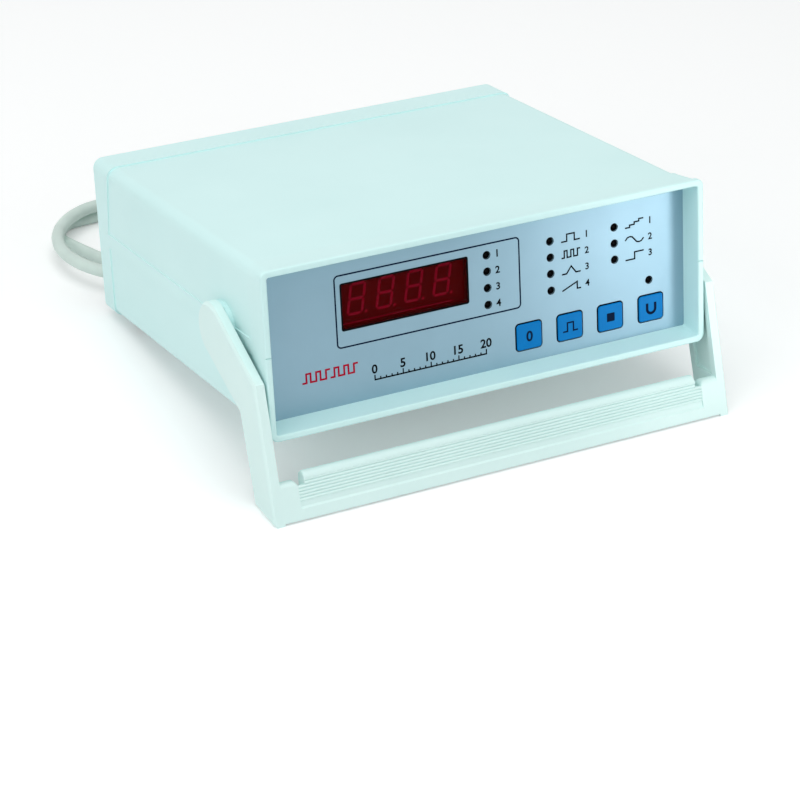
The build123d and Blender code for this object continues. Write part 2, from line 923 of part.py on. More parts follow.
def transformer_screws():
    screws = []
    top = main_board_z + bracket_sheet
    for x, y in transformer_screw_places():
        head = rod("z", top, top + standoff_screw_head, x, y, standoff_screw_head_radius)
        screws.append(head + rod("z", top - board_screw_shank, top, x, y, standoff_screw_radius))
    return group(screws)


# Rear panel
def rear_panel():
    """The plate in the rear groove, cut for the switch, fuse, sockets, posts and cord."""
    plate = run_back(upright(rear_back, panel_half - panel_clearance, panel_low + panel_clearance,
                             panel_high - panel_clearance), panel_thickness)
    y = (rear_back, rear_face)
    x, z = rocker_place
    border = rocker_bezel_border
    plate -= block((x - rocker_body_width / 2, x + rocker_body_width / 2), y,
                   (z - rocker_body_height / 2 + border, z + rocker_body_height / 2 - border))
    plate -= rod("y", y[0], y[1], fuse_place[0], fuse_place[1], fuse_radius)
    plate -= rod("y", y[0], y[1], gland_place[0], gland_place[1], gland_radius)
    for x in jack_x:
        plate -= rod("y", y[0], y[1], x, jack_z, jack_nose_radius + thread_gap)
    for x in post_x:
        plate -= rod("y", y[0], y[1], x, post_z, post_stud_radius + thread_gap)
    return plate


def rocker_axis():
    """The y of the rocker's hinge, just behind the bezel of its switch."""
    return rear_face + rocker_axis_height


def power_switch():
    """The body of the mains switch, with a bezel outside the panel and a pocket for the rocker."""
    x, z = rocker_place
    border, half_width, half_height = rocker_bezel_border, rocker_body_width / 2, rocker_body_height / 2
    inner_end = rear_back - rocker_body_depth
    body = block((x - half_width, x + half_width), (inner_end, rear_face),
                 (z - half_height + border, z + half_height - border))
    bezel = block((x - half_width - border, x + half_width + border), (rear_face, rear_face + bezel_height),
                  (z - half_height - border, z + half_height + border))
    reach = rocker_width / 2 + rocker_gap
    pocket = block((x - reach, x + reach), (rear_face - rocker_pocket, rear_face + bezel_height),
                   (z - rocker_height / 2 - border, z + rocker_height / 2 + border))
    pin = rod("x", x - reach - boss_bite, x + reach + boss_bite, rocker_axis(), z, rocker_pin_radius)
    tabs = [tab(x, (inner_end - rocker_tab, inner_end + boss_bite), z + side * tab_offset)
            for side in (-1, 1)]
    return fuse([body + bezel - pocket + pin] + tabs)


def tab(x, y, z):
    """A flat blade that a wire is soldered to."""
    return block((x - tab_thickness / 2, x + tab_thickness / 2), y, (z - tab_width / 2, z + tab_width / 2))


def power_rocker():
    """The rocker, pressed in at its upper half, with a bore that turns on the switch's pin."""
    x, z = rocker_place
    across = Rot(0, 90, 0)
    body = Box(rocker_width, rocker_thickness, rocker_height)
    crest = Pos(0, rocker_radius + rocker_dip, 0) * across * Cylinder(rocker_radius, rocker_width)
    hub = across * Cylinder(rocker_hub_radius, rocker_width)
    bore = across * Cylinder(rocker_pin_radius + rocker_pin_clearance, rocker_width)
    return Pos(x, rocker_axis(), z) * Rot(rocker_throw / 2, 0, 0) * (body - crest + hub - bore)


def fuse_holder():
    """The round fuse carrier with its slotted cap outside and barrel inside."""
    x, z = fuse_place
    inner_end, cap_front = rear_back - fuse_depth, rear_face + fuse_flange
    top = cap_front + fuse_cap
    barrel = rod("y", inner_end, rear_face, x, z, fuse_radius - thread_gap)
    flange = rod("y", rear_face, cap_front, x, z, fuse_radius + fuse_flange_border)
    cap = rod("y", cap_front, top, x, z, fuse_radius - fuse_cap_inset)
    slot = block((x - fuse_slot_length / 2, x + fuse_slot_length / 2), (top - fuse_slot, top),
                 (z - fuse_slot / 2, z + fuse_slot / 2))
    return barrel + flange + cap - slot + tab(x, (inner_end - fuse_tab, inner_end + boss_bite), z)


def sensor_jack(index):
    """A round sensor socket on the board's edge, whose nose comes through the rear panel."""
    x = jack_x[index]
    low = board_top()
    body = block((x - jack_body_half, x + jack_body_half), (rear_back - jack_body_depth, rear_back),
                 (low, jack_z + jack_body_half))
    nose = rod("y", rear_back, rear_face + jack_nose, x, jack_z, jack_nose_radius)
    bore = rod("y", rear_back - jack_bore_depth, rear_face + jack_nose, x, jack_z, jack_bore_radius)
    return body + nose - bore


def jack_nuts():
    """Slim round nuts that hold the noses of the two sockets to the panel."""
    nuts = []
    for x in jack_x:
        y = (rear_face, rear_face + nut_thickness)
        ring = rod("y", *y, x, jack_z, jack_nose_radius + nut_border)
        nuts.append(ring - rod("y", *y, x, jack_z, jack_nose_radius + thread_gap))
    return group(nuts)


def magnet_post(index):
    """A terminal post for the magnet's lead, bored for a plug from behind."""
    x, z = post_x[index], post_z
    top = rear_face + post_collar + post_knob
    collar = rod("y", rear_face, rear_face + post_collar, x, z, post_radius + post_collar_border)
    knob = rod("y", rear_face + post_collar, top, x, z, post_radius)
    stud = rod("y", rear_back - post_stud, rear_face, x, z, post_stud_radius)
    bore = rod("y", top - post_bore_depth, top, x, z, post_bore_radius)
    return collar + knob + stud - bore


def magnet_post_nuts():
    nuts = []
    for x in post_x:
        low = rear_back - post_nut_thickness
        nut = extrude(RegularPolygon(post_nut_radius, 6), amount=post_nut_thickness)
        nut = Pos(x, low, post_z) * Rot(-90, 0, 0) * nut
        nuts.append(nut - rod("y", low, rear_back, x, post_z, post_stud_radius + thread_gap))
    return group(nuts)


def wire(points, radius, bend):
    """A round wire along straight runs with rounded corners."""
    path = FilletPolyline(*points, radius=bend)
    start = Vector(*points[0])
    heading = Vector(*points[1]) - start
    return sweep(Plane(origin=start, z_dir=heading) * Circle(radius), path=path)


def mains_wires():
    """Wires from the cord to the switch, the fuse and the transformer, and on to the main board."""
    gx, gz = gland_place
    sx, sz = rocker_place
    fx, fz = fuse_place
    gland_y = rear_back - gland_inside
    switch_y = rear_back - rocker_body_depth - rocker_tab - wire_radius
    fuse_y = rear_back - fuse_depth - fuse_tab - wire_radius
    coil_middle = main_board_z + core_height / 2
    coil_back = transformer_y + core_stack / 2 + coil_reach + wire_radius
    coil_front = transformer_y - core_stack / 2 - coil_reach - wire_radius
    landing = main_board_x[1] - landing_inset
    arch = sz + wire_arch
    level = coil_middle + coil_landing
    feed = [(gx, gland_y, gz), (gx, switch_y, gz), (sx, switch_y, gz), (sx, switch_y, sz - tab_landing)]
    link = [(sx, switch_y, sz + tab_landing), (sx, switch_y, arch), (fx, fuse_y, arch),
            (fx, fuse_y, fz + coil_landing)]
    primary = [(fx, fuse_y, fz - coil_landing), (fx, fuse_y, level + landing_inset), (fx, coil_back, level),
               (transformer_x + landing_inset, coil_back, level)]
    second = [(transformer_x - core_leg / 2, coil_front, coil_middle), (landing, coil_front, coil_middle),
              (landing, coil_front, board_top())]
    wires = [wire(points, wire_radius, wire_bend) for points in (feed, link, primary, second)]
    for x in post_x:
        drop_y = rear_back - post_stud - wire_drop
        points = [(x, rear_back - post_stud, post_z), (x, drop_y, post_z), (x, drop_y, board_top())]
        wires.append(wire(points, wire_radius, magnet_wire_bend))
    return group(wires)


# Bail
def along_lean(start, lean, z):
    """The y of a line that leans forward as it comes down from a start point, at height z."""
    return start[0] - (start[1] - z) * math.tan(math.radians(lean))


def leg_front(z):
    return along_lean(kink, leg_front_lean, z)


def leg_rear(z):
    return along_lean(elbow, leg_rear_lean, z)


def on_floor(front, lift):
    """Where the front or rear edge of the legs meets a line that far above the floor."""
    edge = leg_front if front else leg_rear
    z = floor_height(0)
    for _ in range(20):
        z = floor_height(edge(z)) + lift / math.cos(math.radians(tilt))
    return edge(z), z


def drawn_in(before, corner, after, inset):
    """A corner of a clockwise outline, moved inwards until both its edges have moved by the inset."""
    normals = []
    for start, end in ((before, corner), (corner, after)):
        length = math.dist(start, end)
        normals.append(((end[1] - start[1]) / length, (start[0] - end[0]) / length))
    (ay, az), (by, bz) = normals
    share = inset / (1 + ay * by + az * bz)
    return corner[0] + share * (ay + by), corner[1] + share * (az + bz)


def arm_outline(inset):
    """The outline of an arm from its round end down to the floor, drawn in all round by an inset."""
    def rim(radius, turn):
        """A point of the round end, a quarter turn above, on or a quarter turn below the arm's line."""
        side = math.radians(arm_slope + 90 * turn)
        return pivot_y + radius * math.cos(side), pivot_z + radius * math.sin(side)

    top, under = rim(arm_end_radius, 1), rim(arm_end_radius, -1)
    front_toe, rear_toe = on_floor(True, 0), on_floor(False, 0)
    corners = [under, elbow, rear_toe, front_toe, kink, top]
    inner = [drawn_in(*corners[i:i + 3], inset) for i in range(4)]
    radius = arm_end_radius - inset
    ends = [rim(radius, -1), *inner, rim(radius, 1)]
    lines = [Line(start, end) for start, end in zip(ends, ends[1:])]
    return make_face(Curve() + lines + ThreePointArc(ends[-1], rim(radius, 0), ends[0]))


def bar_rear():
    """The y of the bar's upright back face."""
    return leg_front(block_top_z) + bar_back


def bar_back_edges():
    """The upper and the lower edge of the bar's back face, the lower one at the front edge's height."""
    low = floor_height(bar_rear()) + foot_lift / math.cos(math.radians(tilt))
    return [(bar_rear(), bar_notch_z - bar_rear_drop), (bar_rear(), low)]


def corner_section():
    """The outline of the block that joins a leg to the bar, with a narrow lip on top."""
    lip_rear = leg_front(block_top_z) + block_lip
    return [(leg_front(block_top_z), block_top_z), (lip_rear, block_top_z),
            (lip_rear, bar_notch_z - block_step), *bar_back_edges(), on_floor(True, foot_lift)]


def corner_block():
    """The right block, with a round lip whose inner corner is rounded too."""
    corner = side_profile(corner_section(), block_inner_x, block_width)
    lip_edges = corner.edges().filter_by(Axis.X).sort_by(Axis.Z)[-2:]
    corner = fillet(lip_edges, block_top_radius)
    depth = (-case_height, case_height)
    x, z = block_inner_x + block_corner_radius, block_top_z - block_corner_radius
    outside = block((block_inner_x, x), depth, (z, block_top_z))
    return corner - (outside - rod("y", *depth, x, z, block_corner_radius))


def bail_arm():
    """The right arm: a plate with a channel inside, a block that carries the bar, and its hub."""
    outline = Plane.YZ.offset(arm_inner_x) * arm_outline(0)
    plate = extrude(outline, amount=arm_thickness, dir=(1, 0, 0))
    plate = chamfer(plate.faces().sort_by(Axis.X)[-1].edges(), arm_edge_chamfer)
    bed = Plane.YZ.offset(arm_inner_x) * arm_outline(channel_border)
    channel = extrude(bed, amount=channel_depth, dir=(1, 0, 0))
    channel -= block((arm_inner_x, arm_outer_x), (-case_height, case_height),
                     (-case_height, block_top_z))
    channel -= rod("x", arm_inner_x, arm_inner_x + channel_depth, pivot_y, pivot_z, arm_end_radius)
    hub_end = cavity_half - pivot_gap
    hub = rod("x", hub_end, arm_inner_x, pivot_y, pivot_z, hub_radius)
    arm = plate - channel + corner_block() + hub + tenon(0)
    arm -= rod("x", hub_end, hub_end + pivot_screw_length, pivot_y, pivot_z,
               pivot_screw_radius + thread_gap)
    return arm - bar_screw(thread_gap)


def tenon(clearance):
    """The spigot of the right arm that the bar's hollow end slides over."""
    inset = bar_wall - clearance
    low = floor_height(leg_front(block_top_z)) + foot_lift + tenon_floor_gap + inset
    top = bar_notch_z - tenon_drop + clearance
    front = leg_front(bar_notch_z - tenon_drop) + inset
    return block((block_inner_x - tenon_length, block_inner_x), (front, bar_rear() - inset), (low, top))


def bar_screw(clearance):
    """A short screw that goes up through the bar's floor into the right tenon."""
    x = block_inner_x - tenon_length / 2
    y = (leg_front(bar_notch_z) + bar_rear()) / 2
    low = floor_height(y) + foot_lift + bar_screw_sink
    seat = low + bar_screw_head
    head = rod("z", low, seat, x, y, bar_screw_head_radius + clearance)
    return head + rod("z", seat, low + bar_screw_length, x, y, bar_screw_radius + clearance)


def bar_body():
    """The bar's solid body and, on its neck, the roll, before the front is ribbed."""
    roll_z = roll_top_z - roll_radius
    roll_y = leg_front(roll_z) + roll_radius
    root = bar_notch_z - neck_root
    body = [on_floor(True, foot_lift), (leg_front(bar_notch_z), bar_notch_z),
            (leg_front(bar_notch_z) + bar_crest, bar_notch_z), *bar_back_edges()]
    neck = [(leg_front(root), root), (leg_front(roll_z), roll_z), (roll_y + roll_radius, roll_z),
            (roll_y + roll_radius, root)]
    bar = side_profile(body, -block_inner_x, 2 * block_inner_x)
    bar += side_profile(neck, -roll_end_x, 2 * roll_end_x)
    return bar + rod("x", -roll_end_x, roll_end_x, roll_y, roll_z, roll_radius)


def bail_bar():
    """The bar between the arms: a round roll, fine ribs in a shallow recess, and a flat band."""
    top, low = leg_front(rib_top_z), leg_front(ledge_low_z)
    recess = [(top + rib_recess, rib_top_z), (leg_front(ledge_top_z) + rib_recess, ledge_top_z),
              (low, ledge_low_z), (low - overrun, ledge_low_z), (top - overrun, rib_top_z)]
    bar = bar_body() - side_profile(recess, -block_inner_x, 2 * block_inner_x)
    for i in range(rib_count):
        z = rib_top_z - (i + 0.5) * rib_pitch
        reach = roll_end_x if i < ribs_below_roll else block_inner_x
        bar += rod("x", -reach, reach, leg_front(z) + rib_recess, z, rib_radius)
    end = tenon(tenon_clearance).bounding_box()
    bar -= block((-block_inner_x, block_inner_x), (end.min.Y, end.max.Y), (end.min.Z, end.max.Z))
    screw = bar_screw(thread_gap)
    box = screw.bounding_box()
    screw += rod("z", box.min.Z - overrun, box.min.Z, box.center().X, box.center().Y,
                 bar_screw_head_radius + thread_gap)
    return bar - screw - mirrored(screw)


def bail_screws():
    return group([bar_screw(0), mirrored(bar_screw(0))])


def pivot_washer():
    """The right washer, which keeps the hub from pulling out of the case."""
    face = cavity_half - pivot_gap
    ring = rod("x", face - washer_thickness, face, pivot_y, pivot_z, washer_radius)
    return ring - rod("x", face - washer_thickness, face, pivot_y, pivot_z, pivot_screw_radius + thread_gap)


def pivot_screw():
    """The right screw, which goes through the washer into the hub."""
    seat = cavity_half - pivot_gap - washer_thickness
    head = rod("x", seat - pivot_screw_head, seat, pivot_y, pivot_z, pivot_screw_head_radius)
    shank = rod("x", seat, seat + pivot_screw_length, pivot_y, pivot_z, pivot_screw_radius)
    slot = block((seat - pivot_screw_head, seat - pivot_screw_head + slot_depth),
                 (pivot_y - slot_width / 2, pivot_y + slot_width / 2),
                 (pivot_z - slot_length / 2, pivot_z + slot_length / 2))
    return head + shank - slot


# Mains cord, set out on the floor with the origin under the middle of the timer
lead_points = ((85.0, 128.03, 15.37), (85.0, 144.8, 12.8), (82.05, 161.5, 7.2), (73.6, 176.2, 3.1),
               (60.3, 186.9, 3.1), (45.1, 191.9, 3.1), (29.99, 192.26, 3.1), (18.0, 191.8, 3.1))

# Rounds that the coil is laid around: x, y, radius and layer where it comes in and goes out
coil_rounds = ((-81.0, 170.0, 18.0, 0, 0), (-56.0, 129.0, 24.0, 0, 0), (-12.0, 146.0, 36.0, 0, 0),
               (-45.0, 147.0, 22.0, 0, 0), (-17.5, 149.0, 25.0, 0, 1), (-39.0, 147.0, 29.0, 1, 1),
               (-12.0, 150.0, 31.0, 1, 1), (-66.0, 145.5, 41.5, 1, 1))
coil_end = (16.0, 112.5)
plug_sleeve = 18.0
plug_length = 32.0
plug_width = 25.0
plug_corner = 4.0
blade_length = 16.0
blade_root = 6.0
blade_width = 6.3
blade_thickness = 1.5
blade_spacing = 12.7
sleeve_start_border = 1.0
sleeve_end_border = 2.6
plug_top_radius = 1.5


def strain_relief():
    """The bush that grips the cord in the rear panel, with its tapered tail."""
    x, z = gland_place
    inside = rod("y", rear_back - gland_inside, rear_back, x, z, gland_radius + gland_inside_border)
    neck = rod("y", rear_back, rear_face, x, z, gland_radius - thread_gap)
    flange = rod("y", rear_face, rear_face + gland_flange, x, z, gland_flange_radius)
    tail = rod("y", rear_face + gland_flange, rear_face + gland_flange + relief_length, x, z,
               relief_radius, relief_tip_radius)
    return inside + neck + flange + tail


def relief_end():
    """Where the cord leaves the tail of the strain relief, in the case's own frame."""
    return Vector(gland_place[0], rear_face + gland_flange + relief_length, gland_place[1])


def layer_height(layer):
    return cord_floor + layer * layer_step


def heading(from_round, to_round):
    """The direction, in radians, of the straight run that touches both rounds on their right."""
    dx, dy = to_round[0] - from_round[0], to_round[1] - from_round[1]
    distance = math.hypot(dx, dy)
    return math.atan2(dy, dx) + math.asin((from_round[2] - to_round[2]) / distance)


def touch(round_, angle, height):
    """The point of a round where a cord that goes anticlockwise has the given direction."""
    x = round_[0] + round_[2] * math.sin(angle)
    y = round_[1] - round_[2] * math.cos(angle)
    return Vector(x, y, height)


def two_arcs(start, start_way, end, end_way):
    """Two arcs that join two points smoothly, in the given directions."""
    chord = end - start
    ways = start_way + end_way
    spread = 2 * (1 - start_way.dot(end_way))
    along = chord.dot(ways)
    reach = (math.sqrt(along * along + spread * chord.dot(chord)) - along) / spread
    first, second = start + start_way * reach, end - end_way * reach
    middle = (first + second) * 0.5
    return [TangentArc(start, middle, tangent=start_way), TangentArc(middle, end, tangent=second - first)]


def coil_path():
    """Straight runs and arcs of the coil, from the end of the lead to the plug."""
    start = (lead_points[-1][0], lead_points[-1][1], 0)
    rounds = [start, *coil_rounds, (*coil_end, 0)]
    edges = []
    place = Vector(*lead_points[-1])
    for before, now, after in zip(rounds, rounds[1:], rounds[2:]):
        angle_in, angle_out = heading(before, now), heading(now, after)
        turn = (angle_out - angle_in) % (2 * math.pi)
        low, high = layer_height(now[3]), layer_height(now[4])
        arrive = touch(now, angle_in, low)
        edges.append(Line(place, arrive))
        steps = max(1, round(turn / (math.pi / 2) + 0.2)) if low == high else 1
        for i in range(steps):
            a, b = angle_in + turn * i / steps, angle_in + turn * (i + 1) / steps
            end = touch(now, b, high)
            edges += two_arcs(touch(now, a, low), Vector(math.cos(a), math.sin(a)), end,
                              Vector(math.cos(b), math.sin(b)))
        place = touch(now, angle_out, high)
    edges.append(Line(place, Vector(*coil_end, layer_height(1))))
    return Wire([edge.edge() if hasattr(edge, "edge") else edge for edge in edges])


def tube(path):
    """A cord along a path, with its true volume printed beside the one that its length gives."""
    section = Plane(origin=path @ 0, z_dir=path % 0) * Circle(cord_diameter / 2)
    solid = sweep(section, path=path)
    expected = math.pi * (cord_diameter / 2) ** 2 * path.length
    print("cord of", round(path.length), "mm, volume", round(solid.volume), "expected", round(expected))
    return solid


def cord_lead():
    """The free stretch from the strain relief to the coil."""
    points = [Vector(*point) for point in lead_points]
    radii = []
    for before, now, after in zip(points, points[1:], points[2:]):
        half_turn = math.radians((now - before).get_angle(after - now)) / 2
        shorter = min((now - before).length, (after - now).length)
        radii.append(0.45 * shorter / math.tan(half_turn))
    print("lead radii", [round(radius, 1) for radius in radii])
    return tube(Wire(FilletPolyline(*points, radius=radii).edges()))


def cord_coil():
    """The coil behind the case, in two layers, whose end runs on to the plug."""
    path = coil_path()
    count = 1200
    places = [path @ (i / count) for i in range(count + 1)]
    step = path.length / count
    apart = int(3 * cord_diameter / step)
    least = min((places[i] - places[j]).length for i in range(0, count, 2)
                for j in range(i + apart, count, 2))
    print("least gap between the turns of the coil", round(least - cord_diameter, 2))
    return tube(path)


def plug_frame():
    """The place and heading of the plug, where the coil's end meets its sleeve."""
    last = heading(coil_rounds[-1], (*coil_end, 0))
    return Pos(*coil_end, layer_height(1)) * Rot(0, 0, math.degrees(last))


def plug_body():
    """A flat two-blade plug with a tapered sleeve, slotted for its blades."""
    half_height = layer_height(1)
    sleeve = rod("x", 0, plug_sleeve, 0, 0, cord_diameter / 2 + sleeve_start_border,
                 cord_diameter / 2 + sleeve_end_border)
    body = block((plug_sleeve, plug_sleeve + plug_length), (-plug_width / 2, plug_width / 2),
                 (-half_height, half_height))
    body = fillet(body.edges().filter_by(Axis.Z), plug_corner)
    body = fillet(body.faces().sort_by(Axis.Z)[-1].edges(), plug_top_radius)
    plug = sleeve + body
    for blade in blades(thread_gap):
        plug -= blade
    return plug_frame() * plug


def blades(clearance):
    """The two flat blades, seated in the plug's face, larger all round by a clearance."""
    face = plug_sleeve + plug_length
    solids = []
    for side in (-1, 1):
        y = side * blade_spacing / 2
        half = blade_thickness / 2 + clearance
        tall = blade_width / 2 + clearance
        solids.append(block((face - blade_root - clearance, face + blade_length), (y - half, y + half),
                            (-tall, tall)))
    return solids


def plug_blades():
    return group([plug_frame() * blade for blade in blades(0)])


def case_and_bail():
    """Every piece of the timer but its cord, in the case's own frame."""
    upper, lower = shells()
    arm = bail_arm()
    pieces = {
        "upper_shell": upper,
        "lower_shell": lower,
        "rubber_feet": rubber_feet(),
        "case_screws": case_screws(),
        "front_panel": front_panel(),
        "panel_overlay": panel_overlay(),
        "display_window": display_window(),
        "digit_modules": digit_modules(),
        "indicator_lamps": indicator_lamps(),
        "key_switches": key_switches(),
        "display_board": display_board(),
        "display_board_screws": display_board_screws(),
        "driver_chips": driver_chips(),
        "main_board": main_board(),
        "main_board_screws": main_board_screws(),
        "control_chip": control_chip(),
        "crystal": crystal(),
        "capacitors": capacitors(),
        "heat_sink": heat_sink(),
        "voltage_regulator": voltage_regulator(),
        "bridge_rectifier": bridge_rectifier(),
        "ribbon_headers": ribbon_headers(),
        "ribbon_cable": ribbon_cable(),
        "transformer_core": transformer_core(),
        "transformer_coil": transformer_coil(),
        "transformer_bracket": transformer_bracket(),
        "transformer_screws": transformer_screws(),
        "rear_panel": rear_panel(),
        "power_switch": power_switch(),
        "power_rocker": power_rocker(),
        "fuse_holder": fuse_holder(),
        "jack_nuts": jack_nuts(),
        "magnet_post_nuts": magnet_post_nuts(),
        "mains_wires": mains_wires(),
        "bail_arm_left": mirrored(arm),
        "bail_arm_right": arm,
        "bail_bar": bail_bar(),
        "bail_screws": bail_screws(),
        "pivot_washer_left": mirrored(pivot_washer()),
        "pivot_washer_right": pivot_washer(),
        "pivot_screw_left": mirrored(pivot_screw()),
        "pivot_screw_right": pivot_screw(),
    }
    for i in range(len(key_x)):
        pieces[f"key_{i + 1}"] = key_cap(i)
    for i in range(len(jack_x)):
        pieces[f"sensor_jack_{i + 1}"] = sensor_jack(i)
    for i, colour in enumerate(("black", "red")):
        pieces[f"magnet_post_{colour}"] = magnet_post(i)
    return pieces


def stand_height():
    """How far the case's origin is raised when the timer stands on its feet and bail."""
    lean = math.radians(tilt)
    return contact_y * math.sin(lean) + foot_height * math.cos(lean)


def placed():
    """Every piece in its place, with the origin on the floor under the middle of the timer."""
    lean = Pos(0, 0, stand_height()) * Rot(-tilt, 0, 0)
    pieces = case_and_bail()
    leant = {name: lean * piece for name, piece in pieces.items()}
    boxes = [piece.bounding_box() for piece in leant.values()]
    middle = (min(box.min.Y for box in boxes) + max(box.max.Y for box in boxes)) / 2
    shift = Pos(0, -middle, 0)
    print("case origin in the part's frame", 0, round(-middle, 4), round(stand_height(), 4))
    ready = {name: shift * piece for name, piece in leant.items()}
    ready["strain_relief"] = shift * lean * strain_relief()
    print("strain relief ends at", shift * lean * Pos(*relief_end()))
    ready["cord_lead"] = cord_lead()
    ready["cord_coil"] = cord_coil()
    ready["plug_body"] = plug_body()
    ready["plug_blades"] = plug_blades()
    return ready


def main():
    os.makedirs("parts", exist_ok=True)
    pieces = placed()
    for name, piece in pieces.items():
        export_step(piece, f"parts/{name}.step")
    print(len(pieces), "pieces written")


main()
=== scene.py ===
"""Electronic timer in an off-white case: the looks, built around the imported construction.

The case leans back on its bail. Most pieces here are worked out in the case's own frame, in millimetres:
x to the right, y from the front rim to the rear and z up from the base. CaseFrame turns that frame into
the part's frame, in metres.
"""

import json
import logging
import math
from dataclasses import dataclass, replace
from enum import Enum

import bmesh
import bpy
from mathutils import Matrix, Vector


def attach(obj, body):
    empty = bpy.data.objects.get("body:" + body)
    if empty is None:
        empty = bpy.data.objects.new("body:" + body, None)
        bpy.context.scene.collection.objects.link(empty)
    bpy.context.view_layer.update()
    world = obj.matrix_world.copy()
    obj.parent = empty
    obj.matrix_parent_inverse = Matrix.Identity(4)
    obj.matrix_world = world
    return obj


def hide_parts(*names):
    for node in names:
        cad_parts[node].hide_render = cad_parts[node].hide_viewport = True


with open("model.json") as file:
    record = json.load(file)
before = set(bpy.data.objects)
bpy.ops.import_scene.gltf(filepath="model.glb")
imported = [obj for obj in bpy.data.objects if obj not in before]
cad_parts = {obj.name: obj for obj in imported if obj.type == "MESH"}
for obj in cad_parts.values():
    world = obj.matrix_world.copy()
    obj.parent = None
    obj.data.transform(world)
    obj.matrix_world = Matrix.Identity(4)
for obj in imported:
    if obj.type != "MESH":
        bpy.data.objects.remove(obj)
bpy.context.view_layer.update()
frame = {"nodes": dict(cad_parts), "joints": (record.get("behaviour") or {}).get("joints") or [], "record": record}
LOG = logging.getLogger("electronic_timer")
MM = 0.001
# Edges that turn by more than this many degrees stay sharp when a mesh is shaded
SHARP_TURN = 30.0
# Faces that turn by less than this many degrees are joined before edges are rounded
FLAT_TURN = 0.5
# Corners nearer than this many metres are one corner
SAME_PLACE = 1e-6
# Steps in a round corner, and corners round a turned solid
CORNER_STEPS = 6
TURNED_STEPS = 48
ANYWHERE = (-math.inf, math.inf)

Point = tuple[float, float]


# Colours, nodes and objects

def linear(hex_colour: str) -> tuple[float, float, float, float]:
    """Turn an sRGB hex colour into linear red, green, blue and an alpha of 1.

    Args:
        hex_colour: six hex digits, with or without a leading mark.

    Returns:
        The four linear values that a shader's colour socket takes.
    """
    digits = hex_colour.lstrip("#")
    parts = [int(digits[i:i + 2], 16) / 255 for i in (0, 2, 4)]
    red, green, blue = (c / 12.92 if c <= 0.04045 else ((c + 0.055) / 1.055) ** 2.4 for c in parts)
    return red, green, blue, 1.0


def add_node(tree: bpy.types.NodeTree, kind: str, inputs: dict | None = None, **settings) -> bpy.types.Node:
    """Add a node, set its properties, and fill or link its inputs.

    Args:
        tree: the node tree that the node goes into.
        kind: Blender's name of the node type.
        inputs: input name or number to a value, or to the output socket that feeds it.
        settings: properties of the node itself.

    Returns:
        The new node.
    """
    made = tree.nodes.new(kind)
    for name, value in settings.items():
        setattr(made, name, value)
    for key, value in (inputs or {}).items():
        if isinstance(value, bpy.types.NodeSocket):
            tree.links.new(value, made.inputs[key])
        else:
            made.inputs[key].default_value = value
    return made


def add_object(name: str, data: bpy.types.ID) -> bpy.types.Object:
    """Add an object to the scene.

    Args:
        name: the object's name.
        data: the mesh, curve, lamp or camera that it holds.

    Returns:
        The new object.
    """
    made = bpy.data.objects.new(name, data)
    bpy.context.scene.collection.objects.link(made)
    return made


# Finishes

@dataclass(frozen=True)
class Finish:
    """A surface whose colour drifts a little between two shades, over a fine grain and an uneven gloss.

    Sizes are in millimetres. The slot is the record's material slot that the finish stands for.
    """

    # Where the drift starts and ends on the scale of its noise, from 0 to 1
    DRIFT_SPAN = (0.3, 0.7)
    # How many patches of uneven gloss lie along one cloud of the drift
    PATCHES = 3
    # How fine the noise of the clouds, the patches and the grains goes
    DETAIL = (3.0, 4.0, 2.0)

    name: str
    slot: str
    colour: str
    shade: str
    drift: float = 30.0
    grain: float = 0.5
    depth: float = 0.004
    roughness: float = 0.45
    spread: float = 0.06
    metallic: float = 0.0
    ior: float = 1.5
    coat: float = 0.0
    coat_roughness: float = 0.15
    alpha: float = 1.0

    def material(self) -> bpy.types.Material:
        """Make the material, or return the one made before.

        Returns:
            The material under this finish's name.
        """
        known = bpy.data.materials.get(self.name)
        if known:
            return known
        made = bpy.data.materials.new(self.name)
        made.use_nodes = True
        tree = made.node_tree
        tree.nodes.clear()
        place = add_node(tree, "ShaderNodeTexCoord").outputs["Object"]
        clouds, patches, grains = (
            add_node(tree, "ShaderNodeTexNoise", {"Vector": place, "Scale": 1 / (size * MM), "Detail": fine})
            for size, fine in zip((self.drift, self.drift / self.PATCHES, self.grain), self.DETAIL))
        tint = add_node(tree, "ShaderNodeValToRGB", {"Fac": clouds.outputs["Fac"]})
        low, high = tint.color_ramp.elements
        low.position, high.position = self.DRIFT_SPAN
        low.color, high.color = linear(self.colour), linear(self.shade)
        gloss = add_node(tree, "ShaderNodeMapRange",
                         {"Value": patches.outputs["Fac"], "To Min": self.roughness - self.spread,
                          "To Max": self.roughness + self.spread})
        relief = add_node(tree, "ShaderNodeBump",
                          {"Height": grains.outputs["Fac"], "Distance": self.depth * MM, "Strength": 1.0})
        shader = add_node(tree, "ShaderNodeBsdfPrincipled", {
            "Base Color": tint.outputs["Color"],
            "Roughness": gloss.outputs["Result"],
            "Normal": relief.outputs["Normal"],
            "Metallic": self.metallic,
            "IOR": self.ior,
            "Coat Weight": self.coat,
            "Coat Roughness": self.coat_roughness,
            "Alpha": self.alpha,
        })
        add_node(tree, "ShaderNodeOutputMaterial", {"Surface": shader.outputs[0]})
        return made


# Grains are drawn at a fifth of a millimetre or more. The real ones of ink, film, moulded skins and metal
# are finer, and wouldn't show.

# ABS, injection moulded in a spark-eroded tool: a fine even grain, satin, with hardly any drift of colour
CASE_ABS = Finish("moulded_abs_case", "case_plastic", "#D6F8F7", "#D2F5F4", drift=60, depth=0.006,
                  roughness=0.42, spread=0.04)
# The same ABS from another tool, a shade lighter, with a slightly glossier skin
BAIL_ABS = Finish("moulded_abs_bail", "bail_plastic", "#DFF8F5", "#DAF5F2", drift=45, depth=0.005,
                  roughness=0.38, spread=0.05)
